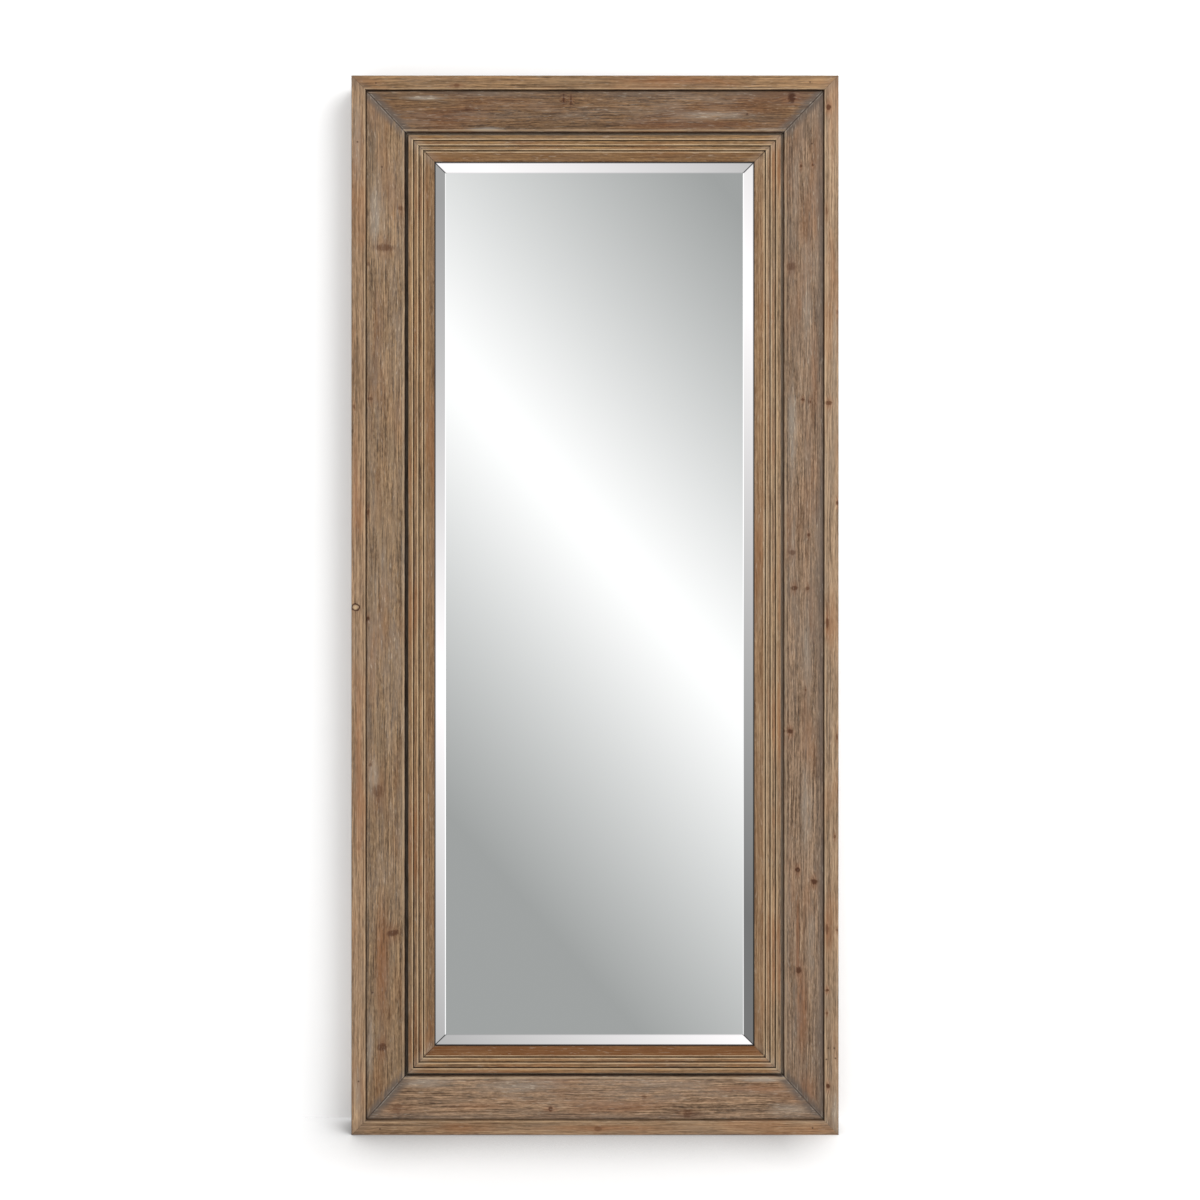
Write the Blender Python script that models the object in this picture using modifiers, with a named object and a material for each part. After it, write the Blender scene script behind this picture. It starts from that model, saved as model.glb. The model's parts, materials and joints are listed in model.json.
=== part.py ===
"""A full-length mirror in a wide, stepped wooden frame, to lean on or hang from a wall.

The mirror stands upright on the floor with its face towards -Y. X is its width and Z its height.
The origin is under the middle of the whole object. Everything is in metres.

The frame's mouldings are drawn as flat outlines in two measures: "inward", from the frame's outer
edge towards the glass, and "depth", from the front of the frame towards the wall.
"""

import math

import bmesh
import bpy
from mathutils import Matrix, Vector

# ---------------------------------------------------------------- driving dimensions

WIDTH = 0.952
HEIGHT = 2.070
FRAME_DEPTH = 0.070
FIT_GAP = 0.0003

# Edge strip: the square lath round the outside.
STRIP_FACE = 0.028
STRIP_FRONT_RADIUS = 0.0014
STRIP_BACK_RADIUS = 0.0008

# Sloped panel: the wide board that falls from the strip towards the glass.
PANEL_OUTER = STRIP_FACE + FIT_GAP
PANEL_INNER = 0.1010
PANEL_OUTER_DEPTH = 0.0055
PANEL_INNER_DEPTH = 0.0365
PANEL_CROWN = 0.0022
PANEL_FACE_STEPS = 10
PANEL_OUTER_RADIUS = 0.0016
PANEL_INNER_RADIUS = 0.0018
PANEL_BACK_START = 0.0850
PANEL_BACK_DEPTH = 0.0240

# Reeded liner: a sunk channel, three stepped reeds and a flat fillet round the glass.
LINER_OUTER = PANEL_INNER + FIT_GAP
LINER_INNER = 0.1595
CHANNEL_EDGE = 0.1075
CHANNEL_DEPTH = 0.0450
REED_WIDTHS = (0.0112, 0.0105, 0.0091)
REED_DEPTHS = (0.0340, 0.0353, 0.0366)
REED_ROUND = 0.0022
REED_SHOULDER = 0.0007
QUIRK_WIDTH = 0.0012
QUIRK_DEPTH = 0.0034
FILLET_OUTER_DEPTH = 0.0386
FILLET_INNER_DEPTH = 0.0396
FILLET_RADIUS = 0.0012
LIP_BACK_DEPTH = 0.0430
REBATE_EDGE = 0.1495

# Back frame: flat boards that tie the mouldings together.
BOARD_THICK = 0.016
BOARD_INNER = 0.128
BOARD_EDGE_BEVEL = 0.0008
BOARD_FRONT_DEPTH = FRAME_DEPTH - BOARD_THICK
MOULDING_BACK_DEPTH = BOARD_FRONT_DEPTH - FIT_GAP

# Glass, its backing and what holds them.
GLASS_EDGE = 0.152
GLASS_THICK = 0.005
GLASS_FACE_DEPTH = 0.0415
GLASS_BEVEL_WIDTH = 0.0295
GLASS_BEVEL_DROP = 0.0025
BACKING_THICK = 0.005
BACKING_DEPTH = GLASS_FACE_DEPTH + GLASS_THICK + FIT_GAP
SETTING_BLOCK_LENGTH = 0.050
SETTING_BLOCK_SPREAD = 0.360

CLIP_WIDTH = 0.016
CLIP_THICK = 0.0012
CLIP_OUTER = 0.1305
CLIP_BEND = 0.1495
CLIP_INNER = 0.1605
CLIP_SCREW = 0.1385
CLIP_BEND_RUN = 0.0022
CLIP_SPREAD_Z = 0.600

# Wood screws, with their cross recess.
SCREW_HEAD_RADIUS = 0.0034
SCREW_HEAD_HEIGHT = 0.0022
SCREW_SHANK_RADIUS = 0.0015
SCREW_LENGTH = 0.011
SCREW_POINT = 0.003
SCREW_SIDES = 12
SCREW_HEAD_STEPS = 3
RECESS_SPAN = 0.0036
RECESS_SLOT = 0.0009
RECESS_DEPTH = 0.0012
HEAD_SLACK = 0.0003
HOLE_CLEARANCE = 0.0005
HOLE_SIDES = 12

# D-ring hangers.
STRAP_WIDTH = 0.016
STRAP_THICK = 0.0014
STRAP_LENGTH = 0.054
STRAP_END_BEVEL = 0.003
STRAP_END_STEPS = 3
KNUCKLE_BORE = 0.0020
KNUCKLE_OUTER = KNUCKLE_BORE + STRAP_THICK
KNUCKLE_SWEEP = math.radians(-292)
KNUCKLE_STEPS = 14
RING_WIRE = 0.0015
RING_HALF_WIDTH = 0.0105
RING_REACH = 0.0185
RING_CORNER = 0.0026
RING_CORNER_STEPS = 4
RING_BOW_STEPS = 12
HANGER_SCREWS = (0.029, 0.046)
HANGER_INWARD = 0.078
UPRIGHT_HANGER_Z = 1.760
SIDEWAYS_HANGER_Z = (0.535, 1.535)

# Wall bumpers.
BUMPER_RADIUS = 0.010
BUMPER_THICK = 0.008
BUMPER_ROUND = 0.002
BUMPER_ROUND_STEPS = 3
BUMPER_INSET = 0.055
BUMPER_SIDES = 20

TOTAL_DEPTH = FRAME_DEPTH + FIT_GAP + BUMPER_THICK
FRONT_Y = -TOTAL_DEPTH / 2
BACK_Y = FRONT_Y + FRAME_DEPTH + FIT_GAP
SMOOTH_ANGLE = math.radians(35)
WELD = 0.00001

# Each side of the frame: where its outer edge lies, how long it is, and the turn about Y that
# takes "inward" from +X to the way that side faces.
SIDES = {
    "left": (Vector((-WIDTH / 2, 0, HEIGHT / 2)), HEIGHT, 0.0),
    "bottom": (Vector((0, 0, 0)), WIDTH, -math.pi / 2),
    "right": (Vector((WIDTH / 2, 0, HEIGHT / 2)), HEIGHT, math.pi),
    "top": (Vector((0, 0, HEIGHT)), WIDTH, math.pi / 2),
}


# ---------------------------------------------------------------- scene helpers

def clear_scene():
    for obj in list(bpy.data.objects):
        bpy.data.objects.remove(obj, do_unlink=True)


def new_collection(name):
    collection = bpy.data.collections.new(name)
    bpy.context.scene.collection.children.link(collection)
    return collection


def new_material(name, colour, roughness, metallic=0.0):
    material = bpy.data.materials.new(name)
    material.use_nodes = True
    shader = material.node_tree.nodes["Principled BSDF"]
    shader.inputs["Base Color"].default_value = (*colour, 1.0)
    shader.inputs["Roughness"].default_value = roughness
    shader.inputs["Metallic"].default_value = metallic
    material.diffuse_color = (*colour, 1.0)
    return material


def add_object(name, data, material, location=(0, 0, 0), turn=0.0, parent=None):
    obj = bpy.data.objects.new(name, data)
    if material.name not in data.materials:
        data.materials.append(material)
    obj.location = location
    obj.rotation_euler = (0, turn, 0)
    obj.parent = parent
    parts.objects.link(obj)
    return obj


def add_empty(name, location, turn):
    empty = bpy.data.objects.new(name, None)
    empty.empty_display_size = 0.02
    empty.location = location
    empty.rotation_euler = (0, turn, 0)
    parts.objects.link(empty)
    return empty


def add_bevel(obj, width, segments=1):
    bevel = obj.modifiers.new("rounded edges", "BEVEL")
    bevel.width = width
    bevel.segments = segments
    bevel.limit_method = "ANGLE"


def bore_hole(obj, centre, radius, depth):
    """Cut a round hole with its axis along Y, through or into obj, round a world position."""
    bm = bmesh.new()
    bmesh.ops.create_cone(bm, cap_ends=True, segments=HOLE_SIDES, radius1=radius, radius2=radius,
                          depth=depth, matrix=Matrix.Rotation(math.pi / 2, 4, "X"))
    mesh = bpy.data.meshes.new("hole")
    bm.to_mesh(mesh)
    bm.free()
    cutter = bpy.data.objects.new(f"{obj.name}_hole", mesh)
    cutter.location = centre
    cutter.hide_render = True
    cutter.display_type = "WIRE"
    cutters.objects.link(cutter)
    cut = obj.modifiers.new("hole", "BOOLEAN")
    cut.operation = "DIFFERENCE"
    cut.object = cutter


def evaluated_mesh(obj):
    """Bake an object's curve and modifiers to a closed mesh, and remove the object."""
    depsgraph = bpy.context.evaluated_depsgraph_get()
    mesh = bpy.data.meshes.new_from_object(obj.evaluated_get(depsgraph))
    bpy.data.objects.remove(obj, do_unlink=True)
    bm = bmesh.new()
    bm.from_mesh(mesh)
    bmesh.ops.remove_doubles(bm, verts=bm.verts, dist=WELD)
    bmesh.ops.recalc_face_normals(bm, faces=bm.faces)
    bm.to_mesh(mesh)
    bm.free()
    return mesh


def shade_round(mesh):
    mesh.shade_smooth()
    mesh.set_sharp_from_angle(angle=SMOOTH_ANGLE)


# ---------------------------------------------------------------- outlines

def rounded_outline(corners, arc_steps=3):
    """The outline through corners of (x, y, radius), each corner rounded to its radius."""
    outline = []
    for index, (x, y, radius) in enumerate(corners):
        corner = Vector((x, y))
        if radius == 0:
            outline.append(corner)
            continue
        before = Vector(corners[index - 1][:2])
        after = Vector(corners[(index + 1) % len(corners)][:2])
        to_before = (before - corner).normalized()
        to_after = (after - corner).normalized()
        half_angle = to_before.angle(to_after) / 2
        reach = radius / math.tan(half_angle)
        centre = corner + (to_before + to_after).normalized() * radius / math.sin(half_angle)
        first = corner + to_before * reach - centre
        last = corner + to_after * reach - centre
        for step in range(arc_steps + 1):
            outline.append(centre + first.slerp(last, step / arc_steps) * radius)
    return outline


def crowned_line(start, end, crown, steps):
    """Points from start to end along a shallow arc that rises by crown at its middle."""
    start = Vector(start)
    end = Vector(end)
    chord = end - start
    radius = (chord.length ** 2 / 4 + crown ** 2) / (2 * crown)
    side = Vector((chord.y, -chord.x)).normalized()
    centre = (start + end) / 2 + side * (crown - radius)
    first = start - centre
    last = end - centre
    return [centre + first.slerp(last, step / steps) * radius for step in range(steps + 1)]


def extruded_outline(outline, length):
    """A closed mesh: the flat outline in X and Y, drawn out along Z by length about its middle."""
    curve = bpy.data.curves.new("outline", "CURVE")
    curve.dimensions = "2D"
    curve.fill_mode = "BOTH"
    curve.extrude = length / 2
    spline = curve.splines.new("POLY")
    spline.points.add(len(outline) - 1)
    for point, (x, y) in zip(spline.points, outline):
        point.co = (x, y, 0, 1)
    spline.use_cyclic_u = True
    drawn = bpy.data.objects.new("outline", curve)
    bpy.context.scene.collection.objects.link(drawn)
    return evaluated_mesh(drawn)


def cut_mitres(mesh, length):
    """Saw both ends of a moulding at 45 degrees, so that its inward side is the shorter."""
    bm = bmesh.new()
    bm.from_mesh(mesh)
    for end in (-1, 1):
        normal = Vector((1, 0, end)).normalized()
        corner = Vector((0, 0, end * length / 2)) - normal * FIT_GAP / 2
        bmesh.ops.bisect_plane(bm, geom=bm.verts[:] + bm.edges[:] + bm.faces[:], dist=WELD / 10,
                               plane_co=corner, plane_no=normal, clear_outer=True)
        rim = [edge for edge in bm.edges if edge.is_boundary]
        bmesh.ops.contextual_create(bm, geom=rim)
    bmesh.ops.recalc_face_normals(bm, faces=bm.faces)
    bm.to_mesh(mesh)
    bm.free()


def box_mesh(low, high):
    bm = bmesh.new()
    bmesh.ops.create_cube(bm, size=1.0)
    size = Vector(high) - Vector(low)
    bmesh.ops.scale(bm, verts=bm.verts, vec=size)
    mesh = bpy.data.meshes.new("box")
    bm.to_mesh(mesh)
    bm.free()
    return mesh


def add_box(name, low, high, material):
    """A box between two world corners, with its origin at its middle."""
    middle = (Vector(low) + Vector(high)) / 2
    return add_object(name, box_mesh(low, high), material, location=middle)


# ---------------------------------------------------------------- mouldings

def add_moulding(kind, outline, material):
    """Four mitred lengths of one moulding, one along each side of the frame."""
    members = {}
    for side, (edge_middle, length, turn) in SIDES.items():
        mesh = extruded_outline(outline, length)
        cut_mitres(mesh, length)
        shade_round(mesh)
        location = edge_middle + Vector((0, FRONT_Y, 0))
        members[side] = add_object(f"{kind}_{side}", mesh, material, location, turn)
    return members


def strip_outline():
    return rounded_outline([
        (0, 0, STRIP_FRONT_RADIUS),
        (STRIP_FACE, 0, STRIP_FRONT_RADIUS),
        (STRIP_FACE, FRAME_DEPTH, 0),
        (0, FRAME_DEPTH, STRIP_BACK_RADIUS),
    ])


def panel_outline():
    """A board with a crowned sloping face, a small round at each edge and a flat for the back frame."""
    face = crowned_line((PANEL_OUTER, PANEL_OUTER_DEPTH), (PANEL_INNER, PANEL_INNER_DEPTH),
                        PANEL_CROWN, PANEL_FACE_STEPS)
    corners = [(*face[0], PANEL_OUTER_RADIUS)]
    corners += [(inward, depth, 0) for inward, depth in face[1:-1]]
    corners += [
        (*face[-1], PANEL_INNER_RADIUS),
        (PANEL_INNER, MOULDING_BACK_DEPTH, 0),
        (PANEL_BACK_START, MOULDING_BACK_DEPTH, 0),
        (PANEL_OUTER, PANEL_BACK_DEPTH, 0),
    ]
    return rounded_outline(corners)


def liner_outline():
    """A channel, three reeds that step down towards the glass, a fillet and the rebate behind it."""
    corners = [
        (LINER_OUTER, MOULDING_BACK_DEPTH, 0),
        (LINER_OUTER, CHANNEL_DEPTH, 0),
        (CHANNEL_EDGE, CHANNEL_DEPTH, 0),
    ]
    start = CHANNEL_EDGE
    for width, crest in zip(REED_WIDTHS, REED_DEPTHS):
        foot = crest + QUIRK_DEPTH
        corners.append((start, crest, REED_SHOULDER))
        corners.append((start + width - QUIRK_WIDTH, crest, REED_ROUND))
        corners.append((start + width - QUIRK_WIDTH, foot, 0))
        corners.append((start + width, foot, 0))
        start += width
    corners += [
        (start, FILLET_OUTER_DEPTH, REED_SHOULDER),
        (LINER_INNER, FILLET_INNER_DEPTH, FILLET_RADIUS),
        (LINER_INNER, LIP_BACK_DEPTH, 0),
        (REBATE_EDGE, LIP_BACK_DEPTH, 0),
        (REBATE_EDGE, MOULDING_BACK_DEPTH, 0),
    ]
    return rounded_outline(corners)


# ---------------------------------------------------------------- back frame

def add_back_frame(material):
    """Two rails the full width between the strips, and two stiles between the rails."""
    half_width = WIDTH / 2 - PANEL_OUTER
    front = FRONT_Y + BOARD_FRONT_DEPTH
    back = FRONT_Y + FRAME_DEPTH
    boards = {}
    for side, low_z in (("bottom", PANEL_OUTER), ("top", HEIGHT - BOARD_INNER)):
        high_z = low_z + BOARD_INNER - PANEL_OUTER
        boards[side] = add_box(f"back_rail_{side}", (-half_width, front, low_z),
                               (half_width, back, high_z), material)
    stile_width = BOARD_INNER - PANEL_OUTER
    for side, low_x in (("left", -half_width), ("right", half_width - stile_width)):
        boards[side] = add_box(f"back_stile_{side}", (low_x, front, BOARD_INNER + FIT_GAP),
                               (low_x + stile_width, back, HEIGHT - BOARD_INNER - FIT_GAP), material)
    for board in boards.values():
        add_bevel(board, BOARD_EDGE_BEVEL)
    return boards


# ---------------------------------------------------------------- glass and backing

def add_mirror_glass(material):
    """A silvered sheet whose border is ground back in a wide, shallow bevel."""
    sheet = (WIDTH - 2 * GLASS_EDGE, GLASS_THICK - GLASS_BEVEL_DROP, HEIGHT - 2 * GLASS_EDGE)
    bm = bmesh.new()
    bmesh.ops.create_cube(bm, size=1.0)
    bmesh.ops.scale(bm, verts=bm.verts, vec=sheet)
    bm.faces.ensure_lookup_table()
    face = min(bm.faces, key=lambda candidate: candidate.calc_center_median().y)
    bmesh.ops.inset_region(bm, faces=[face], thickness=GLASS_BEVEL_WIDTH, use_even_offset=True)
    bmesh.ops.translate(bm, verts=face.verts, vec=(0, -GLASS_BEVEL_DROP, 0))
    mesh = bpy.data.meshes.new("mirror_glass")
    bm.to_mesh(mesh)
    bm.free()
    edge_front = FRONT_Y + GLASS_FACE_DEPTH + GLASS_BEVEL_DROP
    add_object("mirror_glass", mesh, material, (0, edge_front + sheet[1] / 2, HEIGHT / 2))


def add_backing_board(material):
    front = FRONT_Y + BACKING_DEPTH
    board = add_box("backing_board", (-WIDTH / 2 + GLASS_EDGE, front, GLASS_EDGE),
                    (WIDTH / 2 - GLASS_EDGE, front + BACKING_THICK, HEIGHT - GLASS_EDGE), material)
    add_bevel(board, BOARD_EDGE_BEVEL)


def add_setting_blocks(material):
    """Two rubber blocks that carry the glass in the bottom of the rebate."""
    front = FRONT_Y + LIP_BACK_DEPTH + FIT_GAP
    back = FRONT_Y + BACKING_DEPTH - FIT_GAP
    for side, sign in (("left", -1), ("right", 1)):
        middle = sign * SETTING_BLOCK_SPREAD / 2
        block = add_box(f"glass_setting_block_{side}",
                        (middle - SETTING_BLOCK_LENGTH / 2, front, REBATE_EDGE + FIT_GAP),
                        (middle + SETTING_BLOCK_LENGTH / 2, back, GLASS_EDGE - FIT_GAP), material)
        add_bevel(block, FIT_GAP)


# ---------------------------------------------------------------- turned parts and screws

def turned_profile(name, profile, sides):
    """An object that turns a profile of (radius, height) once about the Z axis."""
    bm = bmesh.new()
    points = [bm.verts.new((radius, 0, height)) for radius, height in profile]
    for upper, lower in zip(points, points[1:]):
        bm.edges.new((upper, lower))
    mesh = bpy.data.meshes.new(f"{name}_profile")
    bm.to_mesh(mesh)
    bm.free()
    turned = bpy.data.objects.new(name, mesh)
    bpy.context.scene.collection.objects.link(turned)
    spin = turned.modifiers.new("turned", "SCREW")
    spin.steps = sides
    spin.render_steps = sides
    spin.use_merge_vertices = True
    spin.merge_threshold = WELD
    return turned


def finished_turning(turned):
    """The closed mesh of a turned object, with its axis swung from Z to Y."""
    mesh = evaluated_mesh(turned)
    mesh.transform(Matrix.Rotation(-math.pi / 2, 4, "X"))
    shade_round(mesh)
    return mesh


def cross_recess():
    """The outline of the cross in a screw's head, as a cutter that stands up through Z = 0."""
    reach = RECESS_SPAN / 2
    slot = RECESS_SLOT / 2
    outline = []
    for quarter in range(4):
        turn = Matrix.Rotation(quarter * math.pi / 2, 2)
        outline += [turn @ Vector(point) for point in ((reach, -slot), (reach, slot), (slot, slot))]
    return extruded_outline(outline, RECESS_DEPTH * 2)


def screw_mesh():
    """A round-head wood screw: its axis is Y, and its head's underside is at Y = 0."""
    profile = [(0, SCREW_HEAD_HEIGHT)]
    for step in range(1, SCREW_HEAD_STEPS + 1):
        angle = step / SCREW_HEAD_STEPS * math.pi / 2
        profile.append((SCREW_HEAD_RADIUS * math.sin(angle), SCREW_HEAD_HEIGHT * math.cos(angle)))
    profile += [(SCREW_SHANK_RADIUS, 0), (SCREW_SHANK_RADIUS, SCREW_POINT - SCREW_LENGTH),
                (0, -SCREW_LENGTH)]
    turned = turned_profile("screw", profile, SCREW_SIDES)
    cutter = bpy.data.objects.new("cross_recess", cross_recess())
    cutter.location.z = SCREW_HEAD_HEIGHT
    bpy.context.scene.collection.objects.link(cutter)
    cut = turned.modifiers.new("recess", "BOOLEAN")
    cut.operation = "DIFFERENCE"
    cut.object = cutter
    screw = finished_turning(turned)
    bpy.data.objects.remove(cutter, do_unlink=True)
    return screw


# ---------------------------------------------------------------- retaining clips

def clip_outline():
    """An offset clip from its screwed end, down its bend, to the tongue that presses the board."""
    seat = MOULDING_BACK_DEPTH + FIT_GAP
    tongue = BACKING_DEPTH + BACKING_THICK + FIT_GAP
    bend_end = CLIP_BEND + CLIP_BEND_RUN
    return rounded_outline([
        (CLIP_OUTER, seat, 0),
        (CLIP_BEND, seat, CLIP_THICK / 2),
        (bend_end, tongue, CLIP_THICK),
        (CLIP_INNER, tongue, 0),
        (CLIP_INNER, tongue + CLIP_THICK, CLIP_THICK / 3),
        (bend_end + CLIP_THICK / 2, tongue + CLIP_THICK, CLIP_THICK / 2),
        (CLIP_BEND + CLIP_THICK / 2, seat + CLIP_THICK, CLIP_THICK),
        (CLIP_OUTER, seat + CLIP_THICK, CLIP_THICK / 3),
    ], arc_steps=2)


def clip_places():
    """Each clip's side of the frame, and how far it lies along it from the middle, clockwise from top."""
    places = [("top", 0)]
    places += [("right", offset * CLIP_SPREAD_Z) for offset in (-1, 0, 1)]
    places += [("bottom", 0)]
    places += [("left", offset * CLIP_SPREAD_Z) for offset in (-1, 0, 1)]
    return places


def add_clips(liners, screw, clip_material, screw_material):
    clip_mesh = extruded_outline(clip_outline(), CLIP_WIDTH)
    clip_mesh.materials.append(clip_material)
    shade_round(clip_mesh)
    hole_radius = SCREW_SHANK_RADIUS + HOLE_CLEARANCE
    seat_y = FRONT_Y + MOULDING_BACK_DEPTH
    for number, (side, along) in enumerate(clip_places(), start=1):
        edge_middle, _, turn = SIDES[side]
        spin = Matrix.Rotation(turn, 3, "Y")
        location = edge_middle + spin @ Vector((0, 0, along)) + Vector((0, FRONT_Y, 0))
        clip = add_object(f"retaining_clip_{number}", clip_mesh, clip_material, location, turn)
        at_screw = edge_middle + spin @ Vector((CLIP_SCREW, 0, along))
        head_under = seat_y + FIT_GAP + CLIP_THICK + HEAD_SLACK
        add_object(f"clip_screw_{number}", screw, screw_material,
                   (at_screw.x, head_under, at_screw.z), turn)
        bore_hole(clip, (at_screw.x, seat_y, at_screw.z), hole_radius, CLIP_WIDTH)
        bore_hole(liners[side], (at_screw.x, seat_y, at_screw.z), hole_radius, SCREW_LENGTH * 2)


# ---------------------------------------------------------------- D-ring hangers

def strap_outline():
    """A strap seen edge on: it lies along +X on Y = 0, and its end curls up and over the ring's wire."""
    angles = [KNUCKLE_SWEEP * step / KNUCKLE_STEPS - math.pi / 2 for step in range(KNUCKLE_STEPS + 1)]
    outline = []
    for radius, ordered in ((KNUCKLE_OUTER, angles), (KNUCKLE_BORE, reversed(angles))):
        outline += [(radius * math.cos(angle), KNUCKLE_OUTER + radius * math.sin(angle))
                    for angle in ordered]
    return outline + [(STRAP_LENGTH, STRAP_THICK), (STRAP_LENGTH, 0)]


def ring_points():
    """The D-ring's centre line: its straight side on the hinge axis, then two corners and a round bow."""
    bow_start = RING_REACH - RING_HALF_WIDTH
    straight = RING_HALF_WIDTH - RING_CORNER
    quarter = [step / RING_CORNER_STEPS * math.pi / 2 for step in range(RING_CORNER_STEPS + 1)]
    bow = [step / RING_BOW_STEPS * math.pi for step in range(RING_BOW_STEPS + 1)]
    points = [(RING_CORNER * (1 - math.cos(angle)), straight + RING_CORNER * math.sin(angle))
              for angle in quarter]
    points += [(bow_start + RING_HALF_WIDTH * math.sin(angle), RING_HALF_WIDTH * math.cos(angle))
               for angle in bow]
    points += [(RING_CORNER * (1 - math.sin(angle)), -straight - RING_CORNER * math.cos(angle))
               for angle in quarter]
    return points


def ring_curve(material):
    """The D-ring as a closed wire that lies flat, its reach along +X and its hinge axis along Z."""
    curve = bpy.data.curves.new("d_ring", "CURVE")
    curve.dimensions = "3D"
    curve.bevel_depth = RING_WIRE
    curve.bevel_resolution = 2
    curve.use_fill_caps = True
    spline = curve.splines.new("POLY")
    points = ring_points()
    spline.points.add(len(points) - 1)
    for point, (reach, along) in zip(spline.points, points):
        point.co = (reach, 0, along, 1)
    spline.use_cyclic_u = True
    curve.materials.append(material)
    return curve


def add_hanger(name, location, turn, stile, meshes, materials):
    """A strap, its ring and its two screws, on an empty that stands on the hinge axis.

    The strap runs along the empty's +X, the hinge axis is its Z, and the wall is its +Y.
    """
    strap_mesh, ring, screw = meshes
    strap_material, ring_material, screw_material = materials
    axis = Vector(location) + Vector((0, KNUCKLE_OUTER + FIT_GAP, 0))
    empty = add_empty(f"hanger_{name}", axis, turn)
    strap = add_object(f"hanger_strap_{name}", strap_mesh, strap_material, (0, -KNUCKLE_OUTER, 0),
                       parent=empty)
    add_object(f"d_ring_{name}", ring, ring_material, parent=empty)
    spin = Matrix.Rotation(turn, 3, "Y")
    hole_radius = SCREW_SHANK_RADIUS + HOLE_CLEARANCE
    for number, reach in enumerate(HANGER_SCREWS, start=1):
        add_object(f"hanger_screw_{name}_{number}", screw, screw_material,
                   (reach, STRAP_THICK + HEAD_SLACK - KNUCKLE_OUTER, 0), parent=empty)
        place = Vector(location) + spin @ Vector((reach, 0, 0))
        bore_hole(strap, place, hole_radius, STRAP_WIDTH)
        bore_hole(stile, place, hole_radius, SCREW_LENGTH * 2)


def add_hangers(stiles, screw, strap_material, ring_material, screw_material):
    """One pair to hang the mirror upright, and one pair down the left stile to hang it sideways."""
    strap_mesh = extruded_outline(strap_outline(), STRAP_WIDTH)
    bm = bmesh.new()
    bm.from_mesh(strap_mesh)
    end_edges = [edge for edge in bm.edges
                 if all(vert.co.x > STRAP_LENGTH - FIT_GAP for vert in edge.verts)
                 and abs(edge.verts[0].co.y - edge.verts[1].co.y) > FIT_GAP]
    bmesh.ops.bevel(bm, geom=end_edges, offset=STRAP_END_BEVEL, segments=STRAP_END_STEPS,
                    profile=0.5, affect="EDGES")
    bm.to_mesh(strap_mesh)
    bm.free()
    strap_mesh.materials.append(strap_material)
    shade_round(strap_mesh)
    meshes = (strap_mesh, ring_curve(ring_material), screw)
    materials = (strap_material, ring_material, screw_material)
    reach_x = WIDTH / 2 - HANGER_INWARD
    downwards = math.pi / 2
    for side, sign in (("left", -1), ("right", 1)):
        add_hanger(f"upright_{side}", (sign * reach_x, BACK_Y - FIT_GAP, UPRIGHT_HANGER_Z), downwards,
                   stiles[side], meshes, materials)
    for place, height in zip(("lower", "upper"), SIDEWAYS_HANGER_Z):
        add_hanger(f"sideways_{place}", (-reach_x - STRAP_LENGTH / 2, BACK_Y - FIT_GAP, height), 0.0,
                   stiles["left"], meshes, materials)


# ---------------------------------------------------------------- wall bumpers

def bumper_mesh():
    """A rubber button with a rounded rim: its axis is Y and its flat back is at Y = 0."""
    profile = [(0, BUMPER_THICK)]
    for step in range(BUMPER_ROUND_STEPS + 1):
        angle = step / BUMPER_ROUND_STEPS * math.pi / 2
        profile.append((BUMPER_RADIUS - BUMPER_ROUND * (1 - math.sin(angle)),
                        BUMPER_THICK - BUMPER_ROUND * (1 - math.cos(angle))))
    profile += [(BUMPER_RADIUS, 0), (0, 0)]
    return finished_turning(turned_profile("bumper", profile, BUMPER_SIDES))


def add_bumpers(material):
    mesh = bumper_mesh()
    reach_x = WIDTH / 2 - BUMPER_INSET
    for level, height in (("lower", BUMPER_INSET), ("upper", HEIGHT - BUMPER_INSET)):
        for side, sign in (("left", -1), ("right", 1)):
            add_object(f"wall_bumper_{level}_{side}", mesh, material, (sign * reach_x, BACK_Y, height))


# ---------------------------------------------------------------- the whole mirror

def build():
    strip_wood = new_material("strip wood", (0.30, 0.20, 0.125), 0.62)
    panel_wood = new_material("panel wood", (0.26, 0.175, 0.115), 0.66)
    liner_wood = new_material("liner wood", (0.27, 0.165, 0.09), 0.58)
    raw_pine = new_material("raw pine", (0.56, 0.42, 0.26), 0.75)
    silvered_glass = new_material("silvered glass", (0.92, 0.93, 0.93), 0.02, metallic=1.0)
    fibreboard = new_material("fibreboard", (0.24, 0.16, 0.10), 0.85)
    rubber = new_material("black rubber", (0.03, 0.03, 0.03), 0.8)
    brown_rubber = new_material("bumper rubber", (0.10, 0.085, 0.07), 0.6)
    zinc = new_material("zinc plated steel", (0.62, 0.62, 0.60), 0.35, metallic=1.0)
    nickel = new_material("nickel plated wire", (0.68, 0.66, 0.62), 0.22, metallic=1.0)
    yellow_zinc = new_material("yellow zinc screw", (0.66, 0.52, 0.28), 0.35, metallic=1.0)

    add_moulding("edge_strip", strip_outline(), strip_wood)
    add_moulding("sloped_panel", panel_outline(), panel_wood)
    liners = add_moulding("reeded_liner", liner_outline(), liner_wood)
    boards = add_back_frame(raw_pine)
    add_mirror_glass(silvered_glass)
    add_backing_board(fibreboard)
    add_setting_blocks(rubber)
    screw = screw_mesh()
    screw.materials.clear()
    screw.materials.append(yellow_zinc)
    add_clips(liners, screw, zinc, yellow_zinc)
    add_hangers(boards, screw, zinc, nickel, yellow_zinc)
    add_bumpers(brown_rubber)


clear_scene()
parts = new_collection("full_length_mirror")
cutters = new_collection("cutters")
build()
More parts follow.
